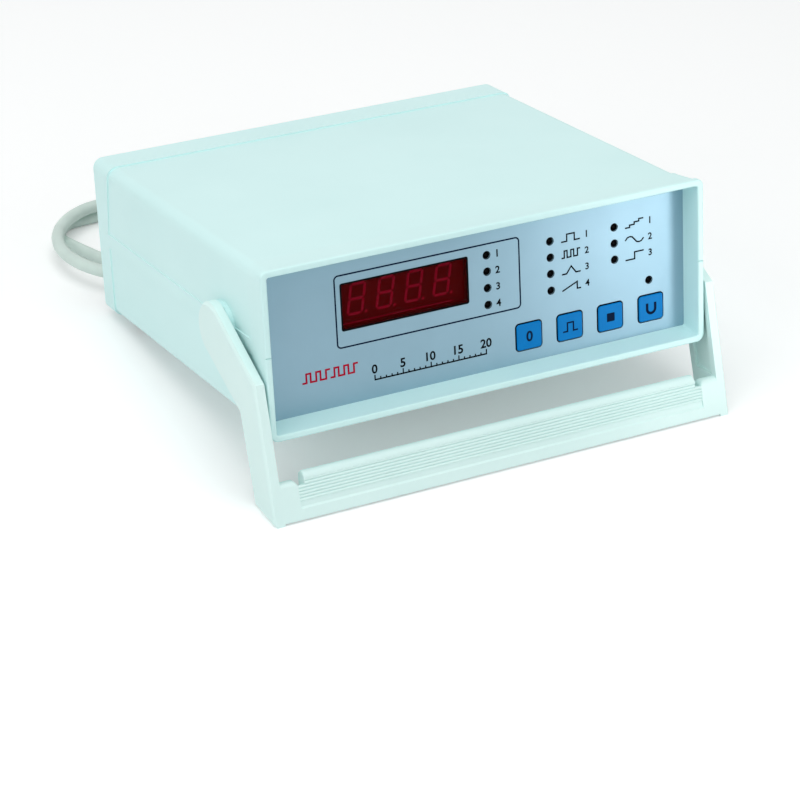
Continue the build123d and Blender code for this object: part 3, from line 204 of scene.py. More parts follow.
# Polyester film over a pearl blue-grey print: a broad metallic sheen, which brightens it towards a lamp
PANEL_FILM = Finish("pearl_polyester_film", "panel_film", "#90B2C3", "#8CAEBF", drift=25, grain=0.25,
                    depth=0.002, roughness=0.42, spread=0.03, metallic=0.35, coat=0.08)
# Ink, screen printed: it lies flat and dries to a dull sheen
NAVY_INK = Finish("screen_ink_navy", "panel_film", "#081A34", "#0C203A", grain=0.2, depth=0.002,
                  roughness=0.7, ior=1.12)
BLACK_INK = replace(NAVY_INK, name="screen_ink_black", colour="#05090C", shade="#080C10")
RED_INK = replace(NAVY_INK, name="screen_ink_red", colour="#B0082C", shade="#A80A30")
# Cast acrylic, dyed through: dark, with a thin gloss, and the digits dim behind it
RED_ACRYLIC = Finish("dyed_acrylic_filter", "window_red", "#4A0305", "#520406", drift=40, grain=2.0,
                     depth=0.001, roughness=0.2, spread=0.02, ior=1.12, alpha=0.35)
# Epoxy module with a printed face: a dull dark red
DIGIT_FACE = Finish("display_module_face", "digit_face", "#6E0204", "#780406", drift=12, grain=0.3,
                    depth=0.003, roughness=0.55, ior=1.12)
# Milky epoxy, cast in the segments, unlit: pink, and seen through the red filter
SEGMENT_EPOXY = Finish("diffused_epoxy_segment", "digit_face", "#F01C4C", "#E81848", drift=6, grain=0.2,
                       depth=0.002, roughness=0.4, ior=1.12)
# Tinted epoxy, cast as a lamp, unlit: nearly black, with a faint sheen on its dome
LAMP_EPOXY = Finish("tinted_epoxy_lamp", "lamp_dark", "#040404", "#060506", drift=3, depth=0.001,
                    roughness=0.45, spread=0.02, ior=1.12)
# ABS key cap, dyed through and moulded: a strong even blue with a satin skin
KEY_ABS = Finish("moulded_abs_key", "key_blue", "#007CC6", "#0076BE", drift=8, grain=0.3, roughness=0.4,
                 spread=0.04, ior=1.18)
# The lower part of the cap, which stays in the shade of its opening: painted shade, a near-black blue in place of
# the cap's own blue
KEY_SKIRT_PAINTED_SHADE = Finish("key_skirt_painted_shade", "key_blue", "#030D18", "#04101C", grain=0.3, ior=1.12)
# Nylon, injection moulded: a dull black with a faint mottled grain, or a glossier red
BLACK_NYLON = Finish("moulded_nylon_black", "black_plastic", "#17191B", "#1E2022", drift=10, grain=0.4,
                     depth=0.008, roughness=0.5)
RED_NYLON = Finish("moulded_nylon_red", "red_plastic", "#B3131A", "#A81018", drift=10, grain=0.4,
                   roughness=0.3)
# ABS, moulded as the panel behind the film: black as painted shade, so that the lamps' holes stay dark
PANEL_PAINTED_SHADE = Finish("panel_plate_painted_shade", "panel_plate", "#101214", "#15181A", depth=0.006, roughness=0.6,
                   ior=1.3)
# Solid rubber, moulded: matt and nearly black, with a slight bloom
FOOT_RUBBER = Finish("moulded_rubber", "foot_rubber", "#1B1C1D", "#2A2B2C", drift=4, depth=0.02,
                     roughness=0.75)
# Flexible vinyl, extruded: smooth along the cord, with a soft sheen and faint handling marks, and darkened by
# painted shade for the shade that the cord hangs in
CORD_VINYL_PAINTED_SHADE = Finish("extruded_vinyl_cord_painted_shade", "cord_vinyl", "#D6E8E1", "#CADCD5", drift=14, grain=1.2,
                    depth=0.015, roughness=0.36, spread=0.07)
# The same vinyl, moulded on as the plug and the strain relief: less shiny than the cord, and paler, as the cord's
# colour carries painted shade
PLUG_VINYL = Finish("moulded_vinyl_plug", "cord_vinyl", "#E2F2F0", "#D8EAE8", drift=12, depth=0.01,
                    roughness=0.4)
# Steel, zinc plated in a barrel: bright, with cloudy patches
ZINC_STEEL = Finish("zinc_plated_steel", "steel", "#C2C6C9", "#A9AFB4", drift=3, grain=0.3, roughness=0.3,
                    spread=0.08, metallic=1.0)
# Brass, rolled and stamped: warm, with a cloudy shine
STAMPED_BRASS = Finish("stamped_brass", "brass", "#D9BE7A", "#C9AC66", drift=4, grain=0.3, roughness=0.28,
                       spread=0.08, metallic=1.0)
# Aluminium, extruded and left bare: a flat grey sheen with soft clouds in it
BARE_ALUMINIUM = Finish("extruded_aluminium", "aluminium", "#C9CBCC", "#BFC2C4", drift=6, grain=0.3,
                        depth=0.006, roughness=0.38, metallic=1.0)
# Vinyl, extruded over wires: plain grey with a soft sheen
WIRE_VINYL = Finish("wire_insulation", "ribbon_grey", "#8D9194", "#84888B", drift=5, depth=0.005)
# Glass-epoxy board, coated with solder mask: green and glossy, and slightly uneven
SOLDER_MASK = Finish("solder_masked_board", "circuit_board", "#1F5B34", "#245F3A", drift=8, grain=0.4,
                     roughness=0.3)
# Silicon steel, stamped, stacked and varnished: dark grey with a dull shine
CORE_STEEL = Finish("varnished_laminations", "core_steel", "#5B5E62", "#505357", drift=5, depth=0.02,
                    roughness=0.45, metallic=1.0)
# Copper wire, enamelled and wound: warm, and mottled by its lacquer
COPPER_WINDING = Finish("enamelled_copper", "copper_winding", "#B4622E", "#9A4E22", drift=4, grain=0.4,
                        depth=0.03, roughness=0.35, metallic=1.0)


class Side(Enum):
    """Which way a flat mark or fitting faces, and how its own x runs along the case's."""

    FRONT = 1
    REAR = -1


class Sign(Enum):
    """Signs on the film and on a key, as lines through points of a square with sides of 1."""

    PULSE = ((0, 0), (0.3, 0), (0.3, 1), (0.7, 1), (0.7, 0), (1, 0))
    STEP = ((0, 0), (0.5, 0), (0.5, 1), (1, 1))
    STAIRS = ((0, 0), (0.25, 0), (0.25, 0.33), (0.5, 0.33), (0.5, 0.67), (0.75, 0.67), (0.75, 1), (1, 1))
    RAMP = ((0, 0), (0.8, 1), (0.8, 0), (1, 0))
    PEAK = ((0, 0), (0.25, 0), (0.5, 1), (0.75, 0), (1, 0))
    WAVE = ((0, 0.5), (0.12, 0.9), (0.25, 1), (0.38, 0.9), (0.5, 0.5), (0.62, 0.1), (0.75, 0), (0.88, 0.1),
            (1, 0.5))
    TRAIN = ((0, 0), (0.15, 0), (0.15, 1), (0.3, 1), (0.3, 0), (0.5, 0), (0.5, 1), (0.65, 1), (0.65, 0),
             (0.85, 0), (0.85, 1), (1, 1))


# The case's own frame

class CaseFrame:
    """The leant-back case's own frame, worked out from the bail's pivot and the way the keys go in."""

    # The bail's pivot in this frame, which is also half way up the case
    PIVOT = Vector((0.0, 44.6, 38.1))

    def __init__(self, joints: list[dict]) -> None:
        """Work out where the frame is.

        Args:
            joints: the model's joints, with the axis of a key and the place of the bail's hinge.
        """
        known = {joint["name"]: joint for joint in joints}
        right = Vector((1.0, 0.0, 0.0))
        back = Vector(known["key_1_push"]["axis"]).normalized()
        turn = Matrix((right, back, right.cross(back))).transposed()
        origin = Vector(known["bail_hinge"]["pos_m"]) - turn @ (self.PIVOT * MM)
        self.to_part = Matrix.Translation(origin) @ turn.to_4x4() @ Matrix.Scale(MM, 4)
        self.from_part = self.to_part.inverted()

    def box(self, node: str) -> tuple[Vector, Vector]:
        """Give a node's lowest and highest corners in this frame, in millimetres."""
        corners = [self.from_part @ v.co for v in frame["nodes"][node].data.vertices]
        return (Vector([min(c[i] for c in corners) for i in range(3)]),
                Vector([max(c[i] for c in corners) for i in range(3)]))

    def wall(self, y: float, side: Side) -> Matrix:
        """Turn a form's millimetres into the part's metres, with its z out of the upright plane at y."""
        s = side.value
        return self.to_part @ Matrix(((s, 0, 0, 0), (0, 0, -s, y), (0, 1, 0, 0), (0, 0, 0, 1)))


CASE = CaseFrame(frame["joints"])


# Pieces

def body_of(node: str) -> str:
    """Name the body that carries a CAD node."""
    bodies = frame["record"]["behaviour"]["bodies"]
    return next(body for body, nodes in bodies.items() if node in nodes)


def add_piece(name: str, mesh: bpy.types.Mesh, finish: Finish, body: str) -> bpy.types.Object:
    """Add a mesh as a piece that rides on a body and wears a finish.

    Args:
        name: the piece's name.
        mesh: its mesh, in metres of the part's frame.
        finish: the surface that it gets.
        body: the CAD body that carries it.

    Returns:
        The new object.
    """
    piece = add_object(name, mesh)
    mesh.materials.clear()
    mesh.materials.append(finish.material())
    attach(piece, body)
    LOG.info("made %s on %s", name, body)
    return piece


def dress(finish: Finish, *nodes: str) -> None:
    """Give carried-over CAD nodes a finish.

    Args:
        finish: the surface that they get.
        nodes: the CAD nodes' names.
    """
    for node in nodes:
        piece = frame["nodes"][node]
        if not piece.material_slots:
            piece.data.materials.append(finish.material())
        for place in piece.material_slots:
            place.material = finish.material()
        LOG.info("dressed %s", node)


@dataclass(frozen=True)
class Zone:
    """A box in the case's frame, in millimetres, clear of a round field about the bail's pivot.

    Left and right are alike, so x is the distance from the case's middle.
    """

    x: Point = ANYWHERE
    y: Point = ANYWHERE
    z: Point = ANYWHERE
    clear: float = 0.0

    def holds(self, place: Vector) -> bool:
        """Tell if a place lies in the zone.

        Args:
            place: the place, in the case's frame.

        Returns:
            True inside.
        """
        away = math.hypot(place.y - CASE.PIVOT.y, place.z - CASE.PIVOT.z)
        spans = zip((abs(place.x), place.y, place.z), (self.x, self.y, self.z))
        return away > self.clear and all(low < value < high for value, (low, high) in spans)


def near(value: float, reach: float = 0.05) -> Point:
    """Give the narrow span about a value."""
    return value - reach, value + reach


@dataclass(frozen=True)
class Rounding:
    """How far the sharp edges whose middles lie in some zones are rounded over, in millimetres."""

    width: float
    zones: tuple[Zone, ...]
    steps: int = 3
    least_turn: float = 35.0

    def cut(self, shape: bmesh.types.BMesh) -> None:
        """Round the edges of a mesh that turn enough and lie in a zone.

        Args:
            shape: the mesh, in the part's frame.
        """
        edges = []
        for edge in shape.edges:
            middle = CASE.from_part @ ((edge.verts[0].co + edge.verts[1].co) / 2)
            turns = edge.is_manifold and edge.calc_face_angle() > math.radians(self.least_turn)
            if turns and any(zone.holds(middle) for zone in self.zones):
                edges.append(edge)
        bmesh.ops.bevel(shape, geom=edges, offset=self.width * MM, segments=self.steps, profile=0.5,
                        affect="EDGES", clamp_overlap=False)


def shade(mesh: bpy.types.Mesh) -> None:
    """Shade a mesh smoothly between its sharp edges."""
    mesh.shade_smooth()
    mesh.set_sharp_from_angle(angle=math.radians(SHARP_TURN))


def ease(node: str, finish: Finish, *roundings: Rounding) -> bpy.types.Object:
    """Replace a CAD node by a copy with softer edges, as a mould leaves them.

    Args:
        node: the CAD node that the copy stands for.
        finish: the surface that it gets.
        roundings: what is rounded, in this order.

    Returns:
        The new piece.
    """
    shape = bmesh.new()
    shape.from_mesh(frame["nodes"][node].data)
    bmesh.ops.remove_doubles(shape, verts=shape.verts, dist=SAME_PLACE)
    bmesh.ops.dissolve_limit(shape, angle_limit=math.radians(FLAT_TURN), verts=shape.verts, edges=shape.edges)
    for rounding in roundings:
        rounding.cut(shape)
    mesh = bpy.data.meshes.new(f"{node}_moulded")
    shape.to_mesh(mesh)
    shape.free()
    for layer in ("custom_normal", "sharp_face", "sharp_edge"):
        if layer in mesh.attributes:
            mesh.attributes.remove(mesh.attributes[layer])
    shade(mesh)
    piece = add_piece(mesh.name, mesh, finish, body_of(node))
    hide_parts(node)
    evened = piece.modifiers.new("even shading", "WEIGHTED_NORMAL")
    evened.keep_sharp = True
    return piece


class Form:
    """A mesh under way in millimetres: x to the right, y up, and z out towards whoever looks at it."""

    # The least cosine that a line's mitres allow for, so that sharp corners stay short
    BLUNT = 0.4
    # How far the numerals' outlines move outwards, as a share of the font's size
    BOLDER = 0.026
    # Steps along each curve of a numeral
    NUMERAL_STEPS = 5

    def __init__(self) -> None:
        """Start with nothing."""
        self.shape = bmesh.new()

    def rings(self, rings: list[list[Vector]], closed: bool = False) -> None:
        """Join rings of corners into a skin, with a lid at each end unless the rings themselves close up.

        Args:
            rings: the rings, with as many corners each.
            closed: the last ring joins the first.
        """
        made = [[self.shape.verts.new(corner) for corner in ring] for ring in rings]
        pairs = list(zip(made, made[1:] + made[:1])) if closed else list(zip(made, made[1:]))
        for ring, following in pairs:
            for i, corner in enumerate(ring):
                j = (i + 1) % len(ring)
                self.shape.faces.new((corner, ring[j], following[j], following[i]))
        if not closed:
            self.shape.faces.new(made[0][::-1])
            self.shape.faces.new(made[-1])

    def slab(self, outline: list[Point], high: float, low: float = 0.0) -> None:
        """Add a flat plate with an anticlockwise outline, a face at high and a back at low."""
        self.rings([[Vector((x, y, z)) for x, y in outline] for z in (low, high)])

    def band(self, outer: list[Point], inner: list[Point], thick: float) -> None:
        """Add a flat closed band between two outlines that have as many corners each."""
        around = ((outer, 0.0), (outer, thick), (inner, thick), (inner, 0.0))
        self.rings([[Vector((x, y, z)) for x, y in outline] for outline, z in around], closed=True)

    def stroke(self, points: list[Point], width: float, thick: float) -> None:
        """Add a line of even width through points, with mitred corners and square ends.

        Args:
            points: the x and y points of its middle.
            width: its width.
            thick: its thickness.
        """
        line = [Vector(point) for point in points]
        ways = [(there - here).normalized() for here, there in zip(line, line[1:])]
        left, right = [], []
        for here, before, after in zip(line, [ways[0], *ways], [*ways, ways[-1]]):
            way = (before + after).normalized()
            across = Vector((-way.y, way.x)) * (width / 2 / max(self.BLUNT, way.dot(before)))
            left.append(tuple(here + across))
            right.append(tuple(here - across))
        self.slab(right + left[::-1], thick)

    def sign(self, sign: Sign, corner: Point, size: Point, width: float, thick: float) -> None:
        """Add a sign of a given width and height, drawn from its lower left corner."""
        self.stroke([(corner[0] + size[0] * u, corner[1] + size[1] * v) for u, v in sign.value], width, thick)

    def turned(self, profile: list[Point], x: float, y: float) -> None:
        """Add a solid turned about an axis along z, from its z and radius at each step of its profile."""
        angles = [2 * math.pi * i / TURNED_STEPS for i in range(TURNED_STEPS)]
        self.rings([[Vector((x + r * math.cos(a), y + r * math.sin(a), z)) for a in angles]
                    for z, r in profile])

    def numeral(self, text: str, x: float, y: float, height: float, thick: float) -> None:
        """Add plain numerals, centred on x and y.

        Args:
            text: the numerals.
            x: their middle.
            y: their middle.
            height: how tall they are.
            thick: their thickness.
        """
        data = bpy.data.curves.new("numeral", "FONT")
        data.body = text
        # Half on each side, so that the writing is 1 thick before it is scaled
        data.extrude = 0.5
        data.offset = self.BOLDER
        data.resolution_u = self.NUMERAL_STEPS
        writing = add_object("numeral", data)
        bpy.context.view_layer.update()
        mesh = bpy.data.meshes.new_from_object(writing.evaluated_get(bpy.context.evaluated_depsgraph_get()))
        bpy.data.objects.remove(writing)
        corners = [v.co for v in mesh.vertices]
        start, end = (min(c.x for c in corners), max(c.x for c in corners))
        foot, top = (min(c.y for c in corners), max(c.y for c in corners))
        size = height / (top - foot)
        mesh.transform(Matrix(((size, 0, 0, x - size * (start + end) / 2),
                               (0, size, 0, y - size * (foot + top) / 2),
                               (0, 0, thick, thick / 2),
                               (0, 0, 0, 1))))
        self.shape.from_mesh(mesh)
        bpy.data.meshes.remove(mesh)

    def piece(self, name: str, finish: Finish, node: str, side: Side = Side.FRONT,
              at: Point = (0.0, 0.0)) -> bpy.types.Object:
        """Close the form and add it as a piece on a CAD node's face, on the body that carries the node.

        Args:
            name: the piece's name.
            finish: the surface that it gets.
            node: the CAD node that it lies on.
            side: which face of the node that is.
            at: where on that face the form's own zero goes.

        Returns:
            The new object.
        """
        low, high = CASE.box(node)
        place = CASE.wall(low.y if side is Side.FRONT else high.y, side) @ Matrix.Translation((*at, 0.0))
        bmesh.ops.transform(self.shape, matrix=place, verts=self.shape.verts)
        bmesh.ops.recalc_face_normals(self.shape, faces=self.shape.faces)
        mesh = bpy.data.meshes.new(name)
        self.shape.to_mesh(mesh)
        self.shape.free()
        shade(mesh)
        return add_piece(name, mesh, finish, body_of(node))


def rectangle(x: Point, y: Point) -> list[Point]:
    """Give a rectangle's corners from its limits, anticlockwise."""
    return [(x[0], y[0]), (x[1], y[0]), (x[1], y[1]), (x[0], y[1])]


def rounded(x: Point, y: Point, radius: float, grow: float = 0.0) -> list[Point]:
    """Outline a rectangle with round corners, anticlockwise.

    Args:
        x: its left and right limits.
        y: its lower and upper limits.
        radius: of the corners before it grows.
        grow: how far it is moved outwards all round.

    Returns:
        The outline's x and y points.
    """
    points = []
    middles = ((x[1] - radius, y[1] - radius), (x[0] + radius, y[1] - radius),
               (x[0] + radius, y[0] + radius), (x[1] - radius, y[0] + radius))
    for quarter, middle in enumerate(middles):
        points += arc(middle, radius + grow, 90 * quarter, 90 * (quarter + 1), CORNER_STEPS)
    return points


def circle(middle: Point, radius: float, count: int) -> list[Point]:
    """Give the points of a whole circle, as many as the count."""
    return arc(middle, radius, 0, 360 - 360 / count, count - 1)


def arc(middle: Point, radius: float, start: float, end: float, steps: int = 14) -> list[Point]:
    """Give the points of an arc from one angle to another, in degrees, in as many steps as are asked for."""
    angles = [math.radians(start + (end - start) * i / steps) for i in range(steps + 1)]
    return [(middle[0] + radius * math.cos(a), middle[1] + radius * math.sin(a)) for a in angles]


# Studio

@dataclass(frozen=True)
class SoftLight:
    """A square soft box. Places are in metres, and the spread of its beam is in degrees."""

    name: str
    place: tuple[float, float, float]
    aim: tuple[float, float, float]
    size: float
    power: float
    spread: float = 180.0

    def build(self) -> None:
        """Hang the lamp and turn it to its aim."""
        lamp = bpy.data.lights.new(self.name, "AREA")
        lamp.shape = "SQUARE"
        lamp.size = self.size
        lamp.energy = self.power
        lamp.spread = math.radians(self.spread)
        holder = add_object(self.name, lamp)
        holder.location = self.place
        holder.rotation_euler = (Vector(self.aim) - Vector(self.place)).to_track_quat("-Z", "Y").to_euler()


@dataclass
class Studio:
    """White sweep, soft lights, and the camera that the photograph was taken with.

    The floor glows a little of itself, by the floor's lift up to near and by the far lift beyond far. Places
    and distances are in metres, and the camera's lens and sensor in millimetres.
    """

    camera_place: Vector = Vector((-0.53403, -1.01211, 0.64343))
    camera_right: Vector = Vector((0.889488, -0.456381, 0.022977))
    camera_up: Vector = Vector((0.212056, 0.456795, 0.863927))
    lens: float = 127.31
    sensor: float = 36.0
    clip: float = 0.05
    floor_size: float = 8.0
    floor_squares: int = 8
    paper: str = "#F4F6F6"
    sky: float = 0.47
    floor_lift: float = 0.2
    far_lift: float = 0.6
    near: float = 0.7
    far: float = 2.4
    lights: tuple[SoftLight, ...] = (
        SoftLight("overhead_softbox", (-0.2, -0.1, 1.5), (0.0, 0.0, 0.05), 1.2, 8.8),
        SoftLight("left_softbox", (-1.3, -0.5, 0.8), (0.0, 0.0, 0.06), 1.0, 4.5),
        SoftLight("front_softbox", (0.35, -1.5, 0.9), (0.0, -0.05, 0.06), 0.9, 3.7),
        SoftLight("low_right_snoot", (0.24, -0.35, 0.06), (0.105, -0.088, 0.068), 0.1, 0.013,
                  spread=28.0),
    )

    def build(self) -> None:
        """Set up everything that isn't the object."""
        self.build_camera()
        self.build_sky()
        self.build_floor()
        for light in self.lights:
            light.build()
            LOG.info("hung %s", light.name)

    def build_camera(self) -> None:
        """Stand the camera where the photograph was taken from."""
        data = bpy.data.cameras.new("camera")
        data.lens = self.lens
        data.sensor_width = self.sensor
        data.clip_start = self.clip
        camera = add_object("camera", data)
        back = self.camera_right.cross(self.camera_up)
        axes = Matrix((self.camera_right, self.camera_up, back)).transposed()
        camera.matrix_world = Matrix.Translation(self.camera_place) @ axes.to_4x4()
        bpy.context.scene.camera = camera

    def seen(self, tree: bpy.types.NodeTree) -> bpy.types.NodeSocket:
        """Tell the rays that show the background, straight, mirrored or through glass, from those that light.

        Args:
            tree: the node tree that asks.

        Returns:
            1 for a ray that shows the background, and otherwise 0.
        """
        path = add_node(tree, "ShaderNodeLightPath").outputs
        shown = add_node(tree, "ShaderNodeMath", {0: path["Is Camera Ray"], 1: path["Is Glossy Ray"]},
                         operation="MAXIMUM")
        return add_node(tree, "ShaderNodeMath", {0: shown.outputs[0], 1: path["Is Transmission Ray"]},
                        operation="MAXIMUM").outputs[0]

    def build_sky(self) -> None:
        """Light the object evenly from all round, and show white."""
        world = bpy.data.worlds.new("studio")
        world.use_nodes = True
        tree = world.node_tree
        tree.nodes.clear()
        strength = add_node(tree, "ShaderNodeMapRange", {"Value": self.seen(tree), "To Min": self.sky,
                                                         "To Max": 1.0})
        light = add_node(tree, "ShaderNodeBackground", {"Color": (1, 1, 1, 1),
                                                        "Strength": strength.outputs["Result"]})
        add_node(tree, "ShaderNodeOutputWorld", {"Surface": light.outputs[0]})
        bpy.context.scene.world = world

    def build_floor(self) -> None:
        """Lay a white floor, which keeps the object's shadow and is lifted to white further off."""
        shape = bmesh.new()
        bmesh.ops.create_grid(shape, x_segments=self.floor_squares, y_segments=self.floor_squares,
                              size=self.floor_size)
        mesh = bpy.data.meshes.new("floor")
        shape.to_mesh(mesh)
        shape.free()
        paint = bpy.data.materials.new("white_paper_sweep")
        paint.use_nodes = True
        tree = paint.node_tree
        tree.nodes.clear()
        matt = add_node(tree, "ShaderNodeBsdfDiffuse", {"Color": linear(self.paper)})
        place = add_node(tree, "ShaderNodeTexCoord").outputs["Object"]
        away = add_node(tree, "ShaderNodeVectorMath", {0: place}, operation="LENGTH").outputs["Value"]
        lift = add_node(tree, "ShaderNodeMapRange",
                        {"Value": away, "From Min": self.near, "From Max": self.far,
                         "To Min": self.floor_lift, "To Max": self.far_lift})
        shown = add_node(tree, "ShaderNodeMath", {0: self.seen(tree), 1: lift.outputs["Result"]},
                         operation="MULTIPLY")
        glow = add_node(tree, "ShaderNodeEmission", {"Color": (1, 1, 1, 1), "Strength": shown.outputs[0]})
        both = add_node(tree, "ShaderNodeAddShader", {0: matt.outputs[0], 1: glow.outputs[0]})
        add_node(tree, "ShaderNodeOutputMaterial", {"Surface": both.outputs[0]})
        mesh.materials.append(paint)
        add_object("floor", mesh)


# Mains cord

@dataclass(frozen=True)
class Turn:
    """One round of the coil, in metres: its middle, its radius, and the layers where it starts and ends."""

    x: float
    y: float
    radius: float
    layer_in: int
    layer_out: int


@dataclass
class MainsCord:
    """The cord from its strain relief, through a loose two-layer coil behind the case, to its plug.

    The cord's own sizes and places are in metres of the part's frame, and the relief's in millimetres.
    """

    diameter: float = 0.0062
    length: float = 1.195
    layer_heights: tuple[float, float] = (0.0031, 0.0101)
    lead: tuple[tuple[float, float, float], ...] = (
        (0.085, 0.12803, 0.01537), (0.085, 0.1448, 0.0128), (0.08205, 0.1615, 0.0072),
        (0.0736, 0.1762, 0.0031), (0.0603, 0.1869, 0.0031), (0.0451, 0.1919, 0.0031),
        (0.02999, 0.19226, 0.0031), (0.018, 0.1918, 0.0031),
    )
    turns: tuple[Turn, ...] = (
        Turn(-0.081, 0.170, 0.018, 0, 0), Turn(-0.056, 0.129, 0.024, 0, 0),
        Turn(-0.012, 0.146, 0.036, 0, 0), Turn(-0.045, 0.147, 0.022, 0, 0),
        Turn(-0.0175, 0.149, 0.025, 0, 1), Turn(-0.039, 0.147, 0.029, 1, 1),
        Turn(-0.012, 0.150, 0.031, 1, 1), Turn(-0.066, 0.1455, 0.0415, 1, 1),
    )
    end: Point = (0.016, 0.1125)
    widest_step: float = 30.0
    path_order: int = 3
    path_steps: int = 6
    section_steps: int = 6
    relief_radius: float = 5.2
    relief_tip_radius: float = 4.0
    relief_length: float = 34.0
    relief_rings: int = 9
    relief_bore: float = 0.6
    flange_back: float = 0.3
    flange_front: Point = (0.4, 0.5)
    tip_edge: Point = (0.5, 0.4)
    first_groove: float = 0.7
    groove: tuple[Point, ...] = ((0.0, 0.0), (0.3, 0.9), (1.1, 0.9), (1.4, 0.0))

    def build(self) -> None:
        """Lay the cord, and dress what is on it."""
        relief = self.build_relief()
        cord = self.build_cord()
        dress(PLUG_VINYL, "plug_body")
        dress(STAMPED_BRASS, "plug_blades")

    def build_cord(self) -> bpy.types.Object:
        """Run one smooth line through the lead's points and the coil's.

        Returns:
            The cord.
        """
        data = bpy.data.curves.new("mains_cord", "CURVE")
        data.dimensions = "3D"
        data.bevel_depth = self.diameter / 2
        data.bevel_resolution = self.section_steps
        data.use_fill_caps = True
        points = list(self.lead) + self.coil_points()
        spline = data.splines.new("NURBS")
        spline.points.add(len(points) - 1)
        for point, place in zip(spline.points, points):
            point.co = (*place, 1.0)
        spline.order_u = self.path_order
        spline.use_endpoint_u = True
        spline.resolution_u = self.path_steps
        # The cord's own vinyl colour, darkened as painted shade
        data.materials.append(CORD_VINYL_PAINTED_SHADE.material())
        cord = add_object("mains_cord", data)
        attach(cord, "case")
        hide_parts("cord_lead", "cord_coil")
        LOG.info("laid mains_cord with %d points", len(points))
        return cord

    def coil_points(self) -> list[tuple[float, float, float]]:
        """Work out the coil's points, round by round, from the end of the lead to the plug.

        Returns:
            The points, which stand outside each round as far as the smooth line cuts inside them.
        """
        rounds = [Turn(*self.lead[-1][:2], 0.0, 0, 0), *self.turns, Turn(*self.end, 0.0, 1, 1)]
        headings = [math.atan2(b.y - a.y, b.x - a.x) + math.asin((a.radius - b.radius)
                                                                 / math.hypot(b.x - a.x, b.y - a.y))
                    for a, b in zip(rounds, rounds[1:])]
        points = []
        for turn, way_in, way_out in zip(self.turns, headings, headings[1:]):
            sweep = (way_out - way_in) % (2 * math.pi)
            count = math.ceil(sweep / math.radians(self.widest_step))
            radius = turn.radius / math.cos(sweep / 2 / count)
            low, high = (self.layer_heights[layer] for layer in (turn.layer_in, turn.layer_out))
            for i in range(count):
                share = (i + 0.5) / count
                angle = way_in + sweep * share
                points.append((turn.x + radius * math.sin(angle), turn.y - radius * math.cos(angle),
                               low + (high - low) * share))
        return points + [(*self.end, self.layer_heights[1])]

    def build_relief(self) -> bpy.types.Object:
        """Model the strain relief: a flange, and a taper with grooves that let it bend.

        Returns:
            The strain relief.
        """
        low, high = CASE.box("strain_relief")
        wall = CASE.box("rear_panel")[1].y
        middle = (low + high) / 2
        flange = (high.x - low.x) / 2
        end = high.y - wall
        start = end - self.relief_length
        step = self.relief_length / (self.relief_rings + 1)
        taper = self.relief_radius - self.relief_tip_radius
        profile = [(0.0, self.relief_bore * flange), (0.0, flange - self.flange_back),
                   (self.flange_back, flange), (start - self.flange_front[0], flange),
                   (start, flange - self.flange_front[1]), (start, self.relief_radius)]
        for i in range(self.relief_rings):
            way = step * (i + self.first_groove)
            radius = self.relief_radius - taper * way / self.relief_length
            profile += [(start + way + along, radius - depth) for along, depth in self.groove]
        profile += [(end - self.tip_edge[0], self.relief_tip_radius),
                    (end, self.relief_tip_radius - self.tip_edge[1])]
        form = Form()
        form.turned(profile, -middle.x, middle.z)
        relief = form.piece("ribbed_strain_relief", PLUG_VINYL, "rear_panel", Side.REAR)
        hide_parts("strain_relief")
        return relief


# Case

@dataclass
class Enclosure:
    """The two shells, their feet and their screws.

    The rim's edges lie within its reach of the very front. Behind the rim and before the rear, the top, the
    base and the sides have sunk fields. The steps round them lie within the flat and the side reach, clear
    of the parting line and of the boss round the bail's pivot.
    """

    rim_edge: float = 0.8
    rim_reach: float = 0.01
    step_edge: float = 0.35
    half_width: float = 106.1
    heights: Point = (0.9, 75.3)
    fields_y: Point = (16.5, 182.0)
    flat_reach: float = 101.0
    side_reach: float = 32.0
    seam: float = 1.0
    boss: float = 14.0

    def build(self) -> None:
        """Round the rim's edges and the steps of the sunk fields, and dress the shells."""
        middle = CASE.PIVOT.z
        flats = [Zone((-math.inf, self.flat_reach), self.fields_y, near(z), self.boss)
                 for z in self.heights]
        sides = [Zone(near(self.half_width), self.fields_y, span, self.boss)
                 for span in ((middle - self.side_reach, middle - self.seam),
                              (middle + self.seam, middle + self.side_reach))]
        rim = Rounding(self.rim_edge, (Zone(y=(-math.inf, self.rim_reach)),), least_turn=30)
        steps = Rounding(self.step_edge, (*flats, *sides), steps=2, least_turn=50)
        for node in ("upper_shell", "lower_shell"):
            ease(node, CASE_ABS, rim, steps)
        dress(FOOT_RUBBER, "rubber_feet")
        dress(ZINC_STEEL, "case_screws")


